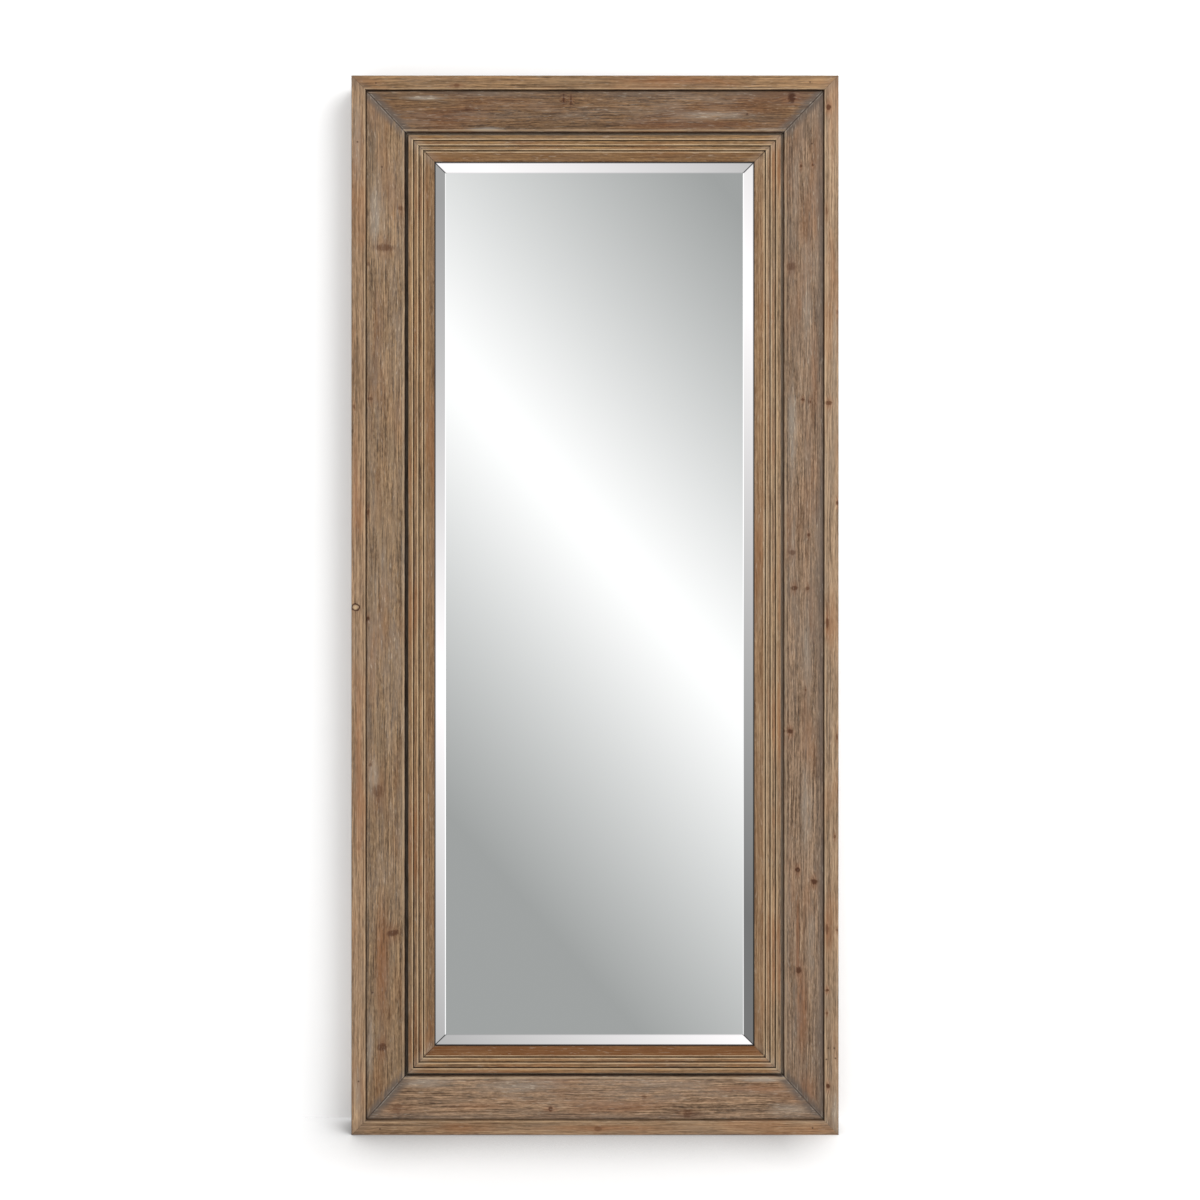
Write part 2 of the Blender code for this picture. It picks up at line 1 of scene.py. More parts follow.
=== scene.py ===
"""The looks of a full-length bevelled mirror in a wide, stepped frame of antiqued fir.

Everything is in metres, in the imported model's frame: X is the mirror's width, Z its height, and the
glass faces -Y. Each moulding is described by three measures: "inward", from the frame's outer edge
towards the glass, "along", from the middle of that side, and "depth", from the frame's front face
towards the wall.
"""

import json
import math

import bmesh
import bpy
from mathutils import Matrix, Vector, noise


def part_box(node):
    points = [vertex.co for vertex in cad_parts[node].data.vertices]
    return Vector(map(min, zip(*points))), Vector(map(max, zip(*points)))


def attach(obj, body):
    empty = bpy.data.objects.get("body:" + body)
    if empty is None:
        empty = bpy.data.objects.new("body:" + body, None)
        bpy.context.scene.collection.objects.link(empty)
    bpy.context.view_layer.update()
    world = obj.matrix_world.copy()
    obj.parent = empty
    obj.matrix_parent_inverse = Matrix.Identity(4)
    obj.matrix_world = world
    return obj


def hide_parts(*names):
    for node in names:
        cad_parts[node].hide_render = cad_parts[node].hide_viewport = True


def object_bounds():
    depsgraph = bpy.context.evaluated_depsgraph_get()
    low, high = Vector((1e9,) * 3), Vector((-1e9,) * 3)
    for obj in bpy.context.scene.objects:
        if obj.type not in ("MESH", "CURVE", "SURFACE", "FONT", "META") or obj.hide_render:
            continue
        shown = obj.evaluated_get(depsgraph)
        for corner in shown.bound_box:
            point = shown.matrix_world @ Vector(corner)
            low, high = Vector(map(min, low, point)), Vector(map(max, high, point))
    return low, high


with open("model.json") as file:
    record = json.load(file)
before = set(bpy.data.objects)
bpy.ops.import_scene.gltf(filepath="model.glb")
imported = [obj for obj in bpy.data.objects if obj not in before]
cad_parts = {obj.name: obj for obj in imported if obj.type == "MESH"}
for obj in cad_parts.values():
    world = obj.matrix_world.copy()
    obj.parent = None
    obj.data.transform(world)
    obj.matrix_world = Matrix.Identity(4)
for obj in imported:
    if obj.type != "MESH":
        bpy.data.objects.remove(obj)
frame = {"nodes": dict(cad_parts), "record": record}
cad_low, cad_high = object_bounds()

# ---------------------------------------------------------------- measures taken from the frame

WIDTH = cad_high.x - cad_low.x
HEIGHT = cad_high.z
FRONT = cad_low.y
BACK = cad_high.y
STRIP_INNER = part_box("edge_strip_left")[1].x - cad_low.x
PANEL_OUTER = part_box("sloped_panel_left")[0].x - cad_low.x
PANEL_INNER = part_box("sloped_panel_left")[1].x - cad_low.x
LINER_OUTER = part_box("reeded_liner_left")[0].x - cad_low.x
LINER_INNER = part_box("reeded_liner_left")[1].x - cad_low.x
GLASS_LOW, GLASS_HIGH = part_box("mirror_glass")

# The liner: where its channel ends, where its three quirks end, and how wide each quirk is.
CHANNEL_EDGE = 0.1075
QUIRK_ENDS = (0.1187, 0.1292, 0.1383)
QUIRK_WIDTH = 0.0012

# ---------------------------------------------------------------- camera, light and stage

# The camera, and the width that it sees in the plane of the frame's front.
CAMERA_PLACE = Vector((-0.080, FRONT - 2.75, 1.217))
SEEN_WIDTH = 2.3436
SENSOR = 36.0
SHIFT_X = 0.0383
SHIFT_Y = -0.0733

# The key light is a soft disc high on the right, in front. The sky lights everything evenly.
KEY_PLACE = (2.7, -3.4, 3.7)
KEY_TARGET = (0, 0, 1.0)
KEY_SIZE = 3.6
KEY_POWER = 150
SKY_STRENGTH = 0.80

WHITE = (1.0, 1.0, 1.0, 1.0)
BLACK = (0.0, 0.0, 0.0, 1.0)
STAGE_PAINT = (0.92, 0.92, 0.92, 1.0)
STAGE_ROUGHNESS = 0.9
WALL_GAP = 0.0015
WALL_HALF_WIDTH = 4.0
WALL_HEIGHT = 5.0
WALL_GLOW = 0.03
FLOOR_HALF_WIDTH = 8.0
FLOOR_HALF_DEPTH = 9.0
FLOOR_GLOW = 0.20

# The contact shade on the floor: its reach, its strength, and the stretch of X over which it ends.
CONTACT_REACH = 0.20
CONTACT_SHADE = 0.55
CONTACT_END = (0.36, 0.50)

# The card seen in the glass, measured on the glass as the camera sees it. Its bright band falls
# BAND_SLOPE metres for each metre to the right, and passes BAND_HEIGHT above the camera's axis. Each
# fade is the change of brightness per metre of height and the brightness at the band. The last pair
# of LEAST_BRIGHT is the darkest grey on the left and on the right of the stretch of X before it.
CARD_DISTANCE = 12.0
CARD_SIZE = 90.0
BAND_SLOPE = 1.14
BAND_HEIGHT = 0.074
FADE_ABOVE = (-0.41, 1.012)
FADE_BELOW = (0.445, 1.03)
LEAST_BRIGHT = (-0.345, -0.246, 0.46, 0.624)
CARD_TINT = (0.972, 1.0, 0.994, 1.0)
CARD_LIGHT = 1.06
DISPLAY_POWER = 2.2

# ---------------------------------------------------------------- meshes

WELD = 0.00001
FLAT_ANGLE = math.radians(0.5)
SMOOTH_ANGLE = math.radians(32)
ROUNDED_ANGLE = math.radians(40)
ROUND_SEGMENTS = 2

# ---------------------------------------------------------------- a short way to write shader nodes

def srgb(red, green, blue):
    """A colour given as 0 to 255 display values, as the linear values that shaders take."""
    values = []
    for value in (red, green, blue):
        share = value / 255
        values.append(share / 12.92 if share <= 0.04045 else ((share + 0.055) / 1.055) ** 2.4)
    return (*values, 1.0)


class Shader:
    """One material's node tree, with short ways to add nodes. A value is a socket or a constant."""

    def __init__(self, name):
        self.material = bpy.data.materials.new(name)
        self.material.use_nodes = True
        self.tree = self.material.node_tree
        self.surface = self.tree.nodes["Principled BSDF"]

    def add(self, kind, inputs=(), output=0, **settings):
        node = self.tree.nodes.new(kind)
        for key, value in settings.items():
            setattr(node, key, value)
        for key, value in dict(inputs).items():
            self.feed(node.inputs[key], value)
        return node.outputs[output]

    def feed(self, socket, value):
        if isinstance(value, bpy.types.NodeSocket):
            self.tree.links.new(value, socket)
        else:
            socket.default_value = value

    def math(self, operation, first, second=0.0, third=0.0):
        return self.add("ShaderNodeMath", {0: first, 1: second, 2: third}, operation=operation)

    def vector(self, x, y, z):
        return self.add("ShaderNodeCombineXYZ", {"X": x, "Y": y, "Z": z})

    def place(self):
        """The point being shaded, in its object's coordinates, which on the mirror are the frame's."""
        return self.add("ShaderNodeTexCoord", output="Object")

    def place_axes(self):
        """The same point's X, Y and Z, each on its own."""
        split = self.tree.nodes.new("ShaderNodeSeparateXYZ")
        self.feed(split.inputs[0], self.place())
        return split.outputs

    def scaled(self, vector, scale, offset=(0, 0, 0)):
        return self.add("ShaderNodeMapping", {"Vector": vector, "Scale": scale, "Location": offset})

    def noise(self, place, scale, offset=(0, 0, 0), detail=4.0, roughness=0.5, distortion=0.0):
        return self.add("ShaderNodeTexNoise", {
            "Vector": self.scaled(place, scale, offset), "Scale": 1.0, "Detail": detail,
            "Roughness": roughness, "Distortion": distortion})

    def spread(self, value, low, high, to_low=0.0, to_high=1.0):
        """value mapped smoothly from low..high to to_low..to_high, and held at the ends."""
        return self.add("ShaderNodeMapRange", {
            "Value": value, "From Min": low, "From Max": high, "To Min": to_low, "To Max": to_high},
            interpolation_type="SMOOTHSTEP")

    def linear(self, value, low, high, to_low=0.0, to_high=1.0):
        return self.add("ShaderNodeMapRange", {
            "Value": value, "From Min": low, "From Max": high, "To Min": to_low, "To Max": to_high})

    def band(self, value, low, high, soft):
        """1 between low and high, falling to 0 over soft on either side."""
        rise = self.linear(value, low - soft, low)
        fall = self.linear(value, high, high + soft, 1.0, 0.0)
        return self.math("MULTIPLY", rise, fall)

    def mix(self, share, first, second):
        node = self.tree.nodes.new("ShaderNodeMix")
        node.data_type = "RGBA"
        self.feed(node.inputs["Factor"], share)
        self.feed(node.inputs["A"], first)
        self.feed(node.inputs["B"], second)
        return node.outputs["Result"]

    def ramp(self, value, stops):
        node = self.tree.nodes.new("ShaderNodeValToRGB")
        elements = node.color_ramp.elements
        while len(elements) < len(stops):
            elements.new(0.5)
        for element, (place, colour) in zip(elements, stops):
            element.position = place
            element.color = colour
        self.feed(node.inputs["Fac"], value)
        return node.outputs["Color"]

    def set(self, values):
        for name, value in values.items():
            self.feed(self.surface.inputs[name], value)

    def bump(self, height, strength, distance):
        self.set({"Normal": self.add("ShaderNodeBump", {
            "Height": height, "Strength": strength, "Distance": distance})})

    def show(self, closure):
        """Make another shader's output the material's surface."""
        self.feed(self.tree.nodes["Material Output"].inputs["Surface"], closure)


# ---------------------------------------------------------------- pieces that refine the CAD solids

body_of = {node: body for body, nodes in frame["record"]["behaviour"]["bodies"].items()
           for node in nodes}


def welded_mesh(node, dissolve=True):
    """A BMesh of a CAD node's mesh with its split vertices joined and, if dissolve is left on, the
    triangles of each flat face made one face again."""
    bm = bmesh.new()
    bm.from_mesh(frame["nodes"][node].data)
    bmesh.ops.remove_doubles(bm, verts=bm.verts, dist=WELD)
    if dissolve:
        bmesh.ops.dissolve_limit(bm, angle_limit=FLAT_ANGLE, verts=bm.verts, edges=bm.edges)
    return bm


def finished_piece(node, bm, material):
    """A new piece from a BMesh, in place of the CAD node, with its body."""
    mesh = bpy.data.meshes.new(f"{node}_finish")
    bm.to_mesh(mesh)
    bm.free()
    mesh.shade_smooth()
    mesh.set_sharp_from_angle(angle=SMOOTH_ANGLE)
    piece = bpy.data.objects.new(f"{node}_finish", mesh)
    bpy.context.scene.collection.objects.link(piece)
    mesh.materials.append(material)
    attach(piece, body_of[node])
    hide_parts(node)
    return piece


# ---------------------------------------------------------------- antiqued fir

# Each side of the frame: the axis that its grain follows, and the middle of that axis; the axis that
# runs inward, and the outer edge and direction of that.
SIDES = {
    "left": ("Z", HEIGHT / 2, "X", cad_low.x, 1),
    "right": ("Z", HEIGHT / 2, "X", cad_high.x, -1),
    "bottom": ("X", 0.0, "Z", 0.0, 1),
    "top": ("X", 0.0, "Z", HEIGHT, -1),
}

# The middle tone of each side's wood, as display values.
TONES = {
    "edge_strip": {"left": (143, 115, 87), "right": (143, 118, 92),
                   "top": (133, 103, 71), "bottom": (143, 114, 85)},
    "sloped_panel": {"left": (125, 100, 73), "right": (133, 108, 85),
                     "top": (110, 81, 53), "bottom": (131, 104, 79)},
    "reeded_liner": {"left": (127, 98, 67), "right": (135, 109, 81),
                     "top": (121, 92, 58), "bottom": (131, 98, 64)},
}

# How much of the grey glaze each moulding has kept, on its faces and at its mitres, and how red its
# wood is.
GLAZE = {"edge_strip": 0.26, "sloped_panel": 0.50, "reeded_liner": 0.20}
MITRE_GLAZE = {"edge_strip": 0.30, "sloped_panel": 0.95, "reeded_liner": 0.30}
REDNESS = {"edge_strip": 0.40, "sloped_panel": 0.34, "reeded_liner": 0.55}

# How dark the joint between the strip and the panel is: stain, with painted shadow of the strip,
# darkest at the top.
JOINT_STAIN_AND_SHADOW = {"top": 0.95, "left": 0.60, "right": 0.30, "bottom": 0.45}

# The same for the liner's channel: stain, with painted shade, darkest on the left.
CHANNEL_STAIN_AND_SHADE = {"top": 0.25, "left": 0.92, "right": 0.12, "bottom": 0.50}

# How strongly each moulding's streaks, fibres and pores show, then its broad bands, then its grit.
FIGURE = {"edge_strip": (0.88, 0.95, 0.35), "sloped_panel": (1.20, 0.55, 0.90),
          "reeded_liner": (0.85, 0.60, 0.60)}

# How much darker glaze, with painted shadow of the strip, lies along the panel's outer edge, most on
# the right; and how much darker and redder the liner's fillet is, most along the bottom.
EDGE_GLAZE_AND_SHADOW = {"top": 0.38, "left": 0.20, "right": 0.78, "bottom": 0.32}
FILLET_RED = {"top": 0.38, "left": 0.16, "right": 0.36, "bottom": 0.92}

# How dark the quirks between the reeds are: stain, with painted shade, darkest at the bottom.
QUIRK_STAIN_AND_SHADE = {"top": 0.85, "left": 0.88, "right": 0.75, "bottom": 1.0}

# How far the edges of each moulding are rubbed through, the pale lines also standing in for painted
# highlights, and how dark the hairline of its mitres is.
RUBBED_AND_HIGHLIGHT = {"edge_strip": 0.35, "sloped_panel": 0.40, "reeded_liner": 0.62}
SEAM = {"edge_strip": 0.03, "sloped_panel": 0.50, "reeded_liner": 0.15}

# How far those layers reach, in metres: the glaze from a mitre; the glaze and painted shadow from the
# panel's outer edge, and the glaze from its inner edge; the dark seam and the pale rub beside it from
# a mitre.
MITRE_GLAZE_REACH = (0.005, 0.026)
OUTER_GLAZE_AND_SHADOW_REACH = (0.004, 0.016)
INNER_GLAZE_REACH = (0.010, 0.002)
SEAM_REACH = (0.0006, 0.0034)
SEAM_RUB = (0.0022, 0.0032)

# Colours of the glaze, with painted shade in the panel's hollows, the stain with painted shade, the
# rubbed edges with painted highlights, and the fillings, as display values.
GLAZE_VEIL = (136, 122, 109)
GLAZE_SMEAR = (148, 137, 124)
GLAZE_FLECK = (192, 178, 158)
HOLLOW_GLAZE_AND_SHADE = {"edge_strip": (96, 84, 75), "sloped_panel": (96, 84, 75),
                "reeded_liner": (152, 138, 122)}
STAIN_AND_SHADE_DARK = (40, 29, 22)
SEAM_DARK = (56, 46, 40)
SEAM_PALE = (188, 180, 166)
EDGE_PALE_AND_HIGHLIGHT = (196, 170, 136)
LOOSE_HEART = (196, 168, 132)
LOOSE_RING = (66, 36, 20)
NAIL_FILLER = (70, 46, 34)

# Knots: (along, inward, half length along the grain, half breadth, strength) in each member.
KNOTS = {
    "sloped_panel_top": [(-0.061, 0.043, 0.0025, 0.011, 0.80), (-0.047, 0.045, 0.0022, 0.011, 0.70),
                         (0.386, 0.040, 0.0080, 0.012, 0.90), (-0.250, 0.060, 0.006, 0.006, 0.35)],
    "sloped_panel_left": [(0.702, 0.062, 0.008, 0.020, 0.60), (0.782, 0.094, 0.005, 0.008, 0.55),
                          (0.668, 0.032, 0.004, 0.003, 0.50), (0.404, 0.036, 0.004, 0.006, 0.60),
                          (0.182, 0.032, 0.006, 0.004, 0.70), (-0.027, 0.0315, 0.005, 0.004, 1.00),
                          (-0.313, 0.036, 0.004, 0.004, 0.50), (-0.365, 0.050, 0.014, 0.012, 0.50),
                          (-0.648, 0.078, 0.007, 0.013, 0.80), (-0.869, 0.058, 0.009, 0.010, 0.80)],
    "sloped_panel_right": [(0.667, 0.088, 0.009, 0.011, 0.50), (0.863, 0.070, 0.004, 0.003, 0.80),
                           (0.863, 0.048, 0.003, 0.003, 0.80), (0.403, 0.067, 0.003, 0.004, 0.80),
                           (0.398, 0.054, 0.004, 0.003, 0.80), (0.137, 0.056, 0.004, 0.003, 0.85),
                           (0.102, 0.086, 0.006, 0.008, 0.60), (0.032, 0.082, 0.005, 0.007, 0.80),
                           (0.032, 0.058, 0.004, 0.004, 0.65), (-0.168, 0.0615, 0.003, 0.002, 0.60),
                           (-0.251, 0.090, 0.005, 0.007, 0.90), (-0.251, 0.098, 0.003, 0.003, 0.80),
                           (-0.523, 0.076, 0.0055, 0.0055, 1.00), (-0.543, 0.046, 0.006, 0.007, 0.95),
                           (-0.720, 0.074, 0.008, 0.006, 0.90)],
    "sloped_panel_bottom": [(-0.087, 0.046, 0.005, 0.005, 0.85), (-0.388, 0.046, 0.010, 0.010, 0.45),
                            (0.097, 0.066, 0.006, 0.005, 0.45), (0.181, 0.038, 0.010, 0.008, 0.50)],
    "edge_strip_left": [(0.388, 0.0055, 0.005, 0.002, 0.70), (-0.470, 0.014, 0.010, 0.006, 0.30)],
    "edge_strip_right": [(0.973, 0.020, 0.006, 0.006, 0.95), (0.770, 0.024, 0.008, 0.004, 0.50),
                         (0.573, 0.002, 0.005, 0.003, 0.60), (0.395, 0.0195, 0.005, 0.0085, 0.80),
                         (0.200, 0.002, 0.005, 0.004, 0.95), (-0.035, 0.023, 0.011, 0.005, 0.85),
                         (-0.168, 0.023, 0.003, 0.002, 0.40), (-0.257, 0.003, 0.007, 0.004, 0.60),
                         (-0.452, 0.0076, 0.004, 0.003, 0.60), (-0.633, 0.023, 0.012, 0.004, 0.70),
                         (-0.634, 0.003, 0.003, 0.003, 0.60), (-0.752, 0.023, 0.003, 0.005, 0.95),
                         (-0.797, 0.024, 0.003, 0.004, 0.70), (-0.939, 0.021, 0.005, 0.005, 1.00)],
    "edge_strip_bottom": [(0.006, 0.012, 0.008, 0.006, 0.45)],
    "edge_strip_top": [(-0.270, 0.020, 0.006, 0.005, 0.50)],
    "reeded_liner_left": [(-0.500, 0.142, 0.005, 0.003, 0.60)],
    "reeded_liner_bottom": [(0.110, 0.150, 0.020, 0.005, 0.45)],
}

# Long reddish streaks, and places where more of the pale grey glaze was left, given like the knots.
RED_STREAKS = {
    "sloped_panel_left": [(-0.700, 0.058, 0.180, 0.020, 0.80), (0.560, 0.048, 0.100, 0.010, 0.35),
                          (-0.130, 0.040, 0.120, 0.012, 0.35)],
    "sloped_panel_right": [(-0.660, 0.076, 0.150, 0.005, 0.80), (-0.800, 0.068, 0.130, 0.016, 0.75),
                           (0.450, 0.045, 0.160, 0.012, 0.40), (-0.960, 0.060, 0.060, 0.030, 0.55)],
    "sloped_panel_top": [(0.200, 0.088, 0.220, 0.012, 0.60), (-0.300, 0.075, 0.120, 0.020, 0.50),
                         (0.400, 0.085, 0.050, 0.015, 0.60)],
    "sloped_panel_bottom": [(0.300, 0.080, 0.110, 0.010, 0.45), (0.050, 0.050, 0.120, 0.012, 0.40)],
    "edge_strip_left": [(-0.300, 0.014, 0.250, 0.010, 0.50), (0.250, 0.008, 0.150, 0.008, 0.40)],
    "edge_strip_bottom": [(0.020, 0.014, 0.200, 0.008, 0.50)],
    "edge_strip_top": [(0.150, 0.010, 0.150, 0.008, 0.40)],
}
GLAZE_SMEARS = {
    "sloped_panel_right": [(0.340, 0.086, 0.140, 0.013, 0.75), (0.630, 0.060, 0.120, 0.016, 0.50),
                           (0.120, 0.086, 0.080, 0.010, 0.45), (-0.400, 0.060, 0.120, 0.014, 0.55),
                           (-0.080, 0.060, 0.120, 0.014, 0.40), (-0.650, 0.050, 0.100, 0.010, 0.45)],
    "sloped_panel_left": [(0.760, 0.045, 0.100, 0.015, 0.55), (-0.340, 0.042, 0.060, 0.014, 0.50),
                          (-0.860, 0.036, 0.100, 0.010, 0.50), (0.080, 0.098, 0.100, 0.006, 0.50)],
    "sloped_panel_top": [(-0.335, 0.041, 0.060, 0.006, 0.80), (0.240, 0.072, 0.110, 0.010, 0.55),
                         (-0.216, 0.096, 0.050, 0.006, 0.80), (0.350, 0.097, 0.050, 0.005, 0.75)],
    "sloped_panel_bottom": [(0.330, 0.096, 0.070, 0.007, 0.95), (-0.330, 0.090, 0.080, 0.012, 0.65),
                            (-0.150, 0.085, 0.120, 0.016, 0.45), (0.380, 0.045, 0.060, 0.018, 0.50)],
    "reeded_liner_right": [(0.500, 0.128, 0.250, 0.004, 0.50), (0.100, 0.140, 0.300, 0.003, 0.45)],
    "edge_strip_left": [(0.900, 0.012, 0.120, 0.012, 0.50), (-0.950, 0.012, 0.080, 0.012, 0.45)],
    "edge_strip_right": [(-0.985, 0.008, 0.050, 0.010, 0.60), (0.500, 0.008, 0.120, 0.006, 0.35)],
}

# A loose knot with a pale heart, ringed in dark stain.
LOOSE_KNOTS = {"edge_strip_left": [(-0.004, 0.0085, 0.0075, 0.0085)]}

# Filled nail holes, (along, inward) in each member, and their radius.
NAIL_HOLES = {
    "edge_strip_right": [(-0.865, 0.0205), (-0.865, 0.0085), (-0.887, 0.024), (-0.885, 0.0065)],
    "edge_strip_left": [(0.905, 0.012), (-0.930, 0.014)],
    "edge_strip_top": [(0.420, 0.013), (-0.428, 0.015)],
    "edge_strip_bottom": [(0.425, 0.014), (-0.420, 0.012)],
    "sloped_panel_left": [(-0.760, 0.040), (0.860, 0.058)],
    "sloped_panel_right": [(0.905, 0.050)],
    "sloped_panel_top": [(0.300, 0.070)],
}
NAIL_HOLE = 0.0020

# How far a spot on an edge strip runs back from the front face.
KNOT_DEPTH = 0.012

# The wear of a moulding's faces: how long the slices are that it is worked out on, how deep it is,
# how near a mitre it starts to fade out, how many scoops and nicks there are to a metre across the
# grain, what share of that there are along it, and how high the noise must be to make a nick.
SLICE = 0.014
WEAR_DEPTH = 0.00035
TIGHT_JOINT = 0.015
SCOOPS = 45
NICKS = 160
WEAR_STRETCH = 0.15
NICK_ONSET = 0.25


def half_length(side):
    return (HEIGHT if side in ("left", "right") else WIDTH) / 2


def member_coordinates(shader, side):
    """The sockets along, inward and depth of a point on one side of the frame, in metres."""
    grain_axis, middle, inward_axis, edge, sign = SIDES[side]
    axes = shader.place_axes()
    along = shader.math("SUBTRACT", axes[grain_axis], middle)
    if sign > 0:
        inward = shader.math("SUBTRACT", axes[inward_axis], edge)
    else:
        inward = shader.math("SUBTRACT", edge, axes[inward_axis])
    depth = shader.math("SUBTRACT", axes["Y"], FRONT)
    return along, inward, depth


class AntiquedFir(Shader):
    """Stained, glazed and rubbed fir for one length of moulding, built up in layers.

    grain is a point's place in the wood: its first axis follows the grain, which wanders gently and
    swells round the knots. straight is the same place without the wandering. face leaves out the
    depth, except on the edge strip, where spots fade out round the corner. A noise's scale says how
    fine it is to the metre along the grain, across it and in depth.
    """

    def __init__(self, kind, side, seed):
        self.member = f"{kind}_{side}"
        super().__init__(f"antiqued_fir_{self.member}")
        self.kind = kind
        self.side = side
        self.seed = seed
        self.offset = (seed * 3.7, seed * 1.9, seed * 0.6)
        self.along, self.inward, self.depth = member_coordinates(self, side)
        self.straight = self.vector(self.along, self.inward, self.depth)
        self.face = self.vector(self.along, self.inward, self.depth if kind == "edge_strip" else 0.0)
        to_end = self.math("SUBTRACT", half_length(side), self.math("ABSOLUTE", self.along))
        self.to_mitre = self.math("SUBTRACT", to_end, self.inward)
        self.lay_out_grain()

        colour = self.figured_wood()
        colour = self.reddened(colour)
        colour = self.pored(colour)
        colour = self.glazed(colour)
        colour = self.knotted(colour)
        if kind == "reeded_liner":
            colour = self.red_fillet(colour)
        colour = self.flecked(colour)
        colour = self.edge_lines(colour)
        colour = self.mitre_seam(colour)
        colour = self.loose_knots(colour)
        colour = self.nail_holes(colour)
        self.set({"Base Color": colour})
        self.add_sheen_and_relief()

    def tint(self, red, green, blue):
        """This side's middle tone with its three channels scaled."""
        tone = TONES[self.kind][self.side]
        return srgb(tone[0] * red, tone[1] * green, tone[2] * blue)

    def from_spot(self, along, inward, length, breadth):
        """How far each point is from the middle of an oval spot, 1 at its rim."""
        scale = (1 / length, 1 / breadth, 1 / KNOT_DEPTH)
        place = self.scaled(self.face, scale, (-along / length, -inward / breadth, 0))
        return self.add("ShaderNodeVectorMath", {0: place}, output="Value", operation="LENGTH")

    def drawn_out(self, spots):
        """Soft-edged patches drawn out along the grain, the strongest wherever they overlap."""
        share = 0.0
        for along, inward, length, breadth, strength in spots:
            far = self.from_spot(along, inward, length, breadth)
            share = self.math("MAXIMUM", share, self.spread(far, 0.15, 1.0, strength, 0.0))
        return share

    def knot_fields(self):
        """The dark core of the knots, and the reddish swell that trails from each along the grain."""
        core = 0.0
        swell = 0.0
        for along, inward, length, breadth, strength in KNOTS.get(self.member, []):
            far = self.math("ADD", self.from_spot(along, inward, length, breadth), self.ragged)
            core = self.math("MAXIMUM", core, self.spread(far, 0.55, 1.15, strength, 0.0))
            trail = self.from_spot(along, inward, length * 4.5, breadth * 1.7)
            swell = self.math("MAXIMUM", swell, self.spread(trail, 0.0, 1.0, strength, 0.0))
        return core, swell

    def lay_out_grain(self):
        """The warped grain, and the noises drawn out along it that several layers share."""
        wander = self.noise(self.straight, (3.2, 9, 9), self.offset, detail=2)
        waver = self.noise(self.straight, (16, 30, 30), self.offset, detail=1)
        across = self.math("MULTIPLY_ADD", wander, 0.013, self.inward)
        across = self.math("MULTIPLY_ADD", waver, 0.0009, across)
        ragged = self.noise(self.straight, (190, 260, 260), self.offset, detail=2)
        self.ragged = self.math("MULTIPLY_ADD", ragged, 0.9, -0.45)
        self.core, self.swell = self.knot_fields()
        self.across = self.math("MULTIPLY_ADD", self.swell, 0.004, across)
        self.grain = self.vector(self.along, self.across, self.depth)
        self.streak = self.noise(self.grain, (9, 420, 420), self.offset, detail=3, roughness=0.62)
        self.broad = self.noise(self.grain, (2.2, 60, 60), self.offset, detail=3)
        self.fibre = self.noise(self.grain, (55, 760, 760), self.offset, detail=2, roughness=0.6)
        self.smear = self.noise(self.grain, (14, 90, 90), (2, self.seed, 7), detail=6, roughness=0.72)
        self.cloud = self.noise(self.straight, (3.5, 26, 26), (9, self.seed, 4), detail=3)

    def late_wood(self):
        """Growth rings, as contour lines of a warped surface: each darkens slowly and ends sharply."""
        drift = self.noise(self.straight, (1.3, 12, 12), self.offset, detail=2, roughness=0.4)
        ring = self.math("MULTIPLY_ADD", drift, 8.0, self.math("MULTIPLY", self.across, 105.0))
        ring = self.math("FRACT", ring)
        return self.math("MULTIPLY", self.linear(ring, 0.20, 0.82),
                         self.linear(ring, 0.84, 1.0, 1.0, 0.0))

    def figured_wood(self):
        """The bare wood: streaks, broad bands, grit and fibres, and the lines of the late wood."""
        figure, banding, gritty = FIGURE[self.kind]
        grit = self.noise(self.grain, (120, 340, 340), self.offset, detail=2, roughness=0.6)
        value = self.math("MULTIPLY_ADD", self.streak, 1.9 * figure, -0.95 * figure)
        value = self.math("ADD", value, self.math("MULTIPLY_ADD", self.broad, banding, -banding / 2))
        value = self.math("ADD", value, self.math("MULTIPLY_ADD", grit, gritty, -gritty / 2))
        value = self.math("ADD", value,
                          self.math("MULTIPLY_ADD", self.fibre, figure, 0.5 - figure / 2))
        colour = self.ramp(value, [
            (0.00, self.tint(0.50, 0.46, 0.42)), (0.34, self.tint(0.84, 0.82, 0.79)),
            (0.50, self.tint(1, 1, 1)), (0.68, self.tint(1.12, 1.13, 1.14)),
            (1.00, self.tint(1.34, 1.38, 1.42))])
        line_share = self.math("MULTIPLY", self.late_wood(),
                               self.spread(self.broad, 0.35, 0.65, 0.06, 0.28))
        return self.mix(line_share, colour, self.tint(0.74, 0.64, 0.54))

    def reddened(self, colour):
        """Broad areas that are redder or greyer than the rest, and the long reddish streaks."""
        patch = self.noise(self.straight, (4.5, 22, 22), (self.seed, 5, 2), detail=3)
        ashen = self.noise(self.straight, (6, 45, 45), (3, self.seed, 8), detail=3)
        colour = self.mix(self.spread(patch, 0.48, 0.70, 0.0, REDNESS[self.kind]), colour,
                          self.tint(1.02, 0.82, 0.62))
        colour = self.mix(self.spread(ashen, 0.48, 0.72, 0.0, 0.45), colour,
                          self.tint(0.95, 1.00, 1.08))
        red = self.math("MULTIPLY", self.drawn_out(RED_STREAKS.get(self.member, [])),
                        self.spread(self.streak, 0.25, 0.60, 0.4, 1.0))
        return self.mix(red, colour, self.tint(0.97, 0.77, 0.60))

    def pored(self, colour):
        """Pores, as short dark dashes, and the reddish trails of the knots."""
        pore = self.noise(self.grain, (28, 430, 430), (self.seed, 2, 6), detail=1)
        self.pore = self.spread(pore, 0.60, 0.70, 0.0, 0.5 * FIGURE[self.kind][0])
        colour = self.mix(self.pore, colour, self.tint(0.52, 0.46, 0.42))
        trail = self.math("MULTIPLY", self.swell, 0.55)
        return self.mix(trail, colour, self.tint(0.94, 0.70, 0.50))

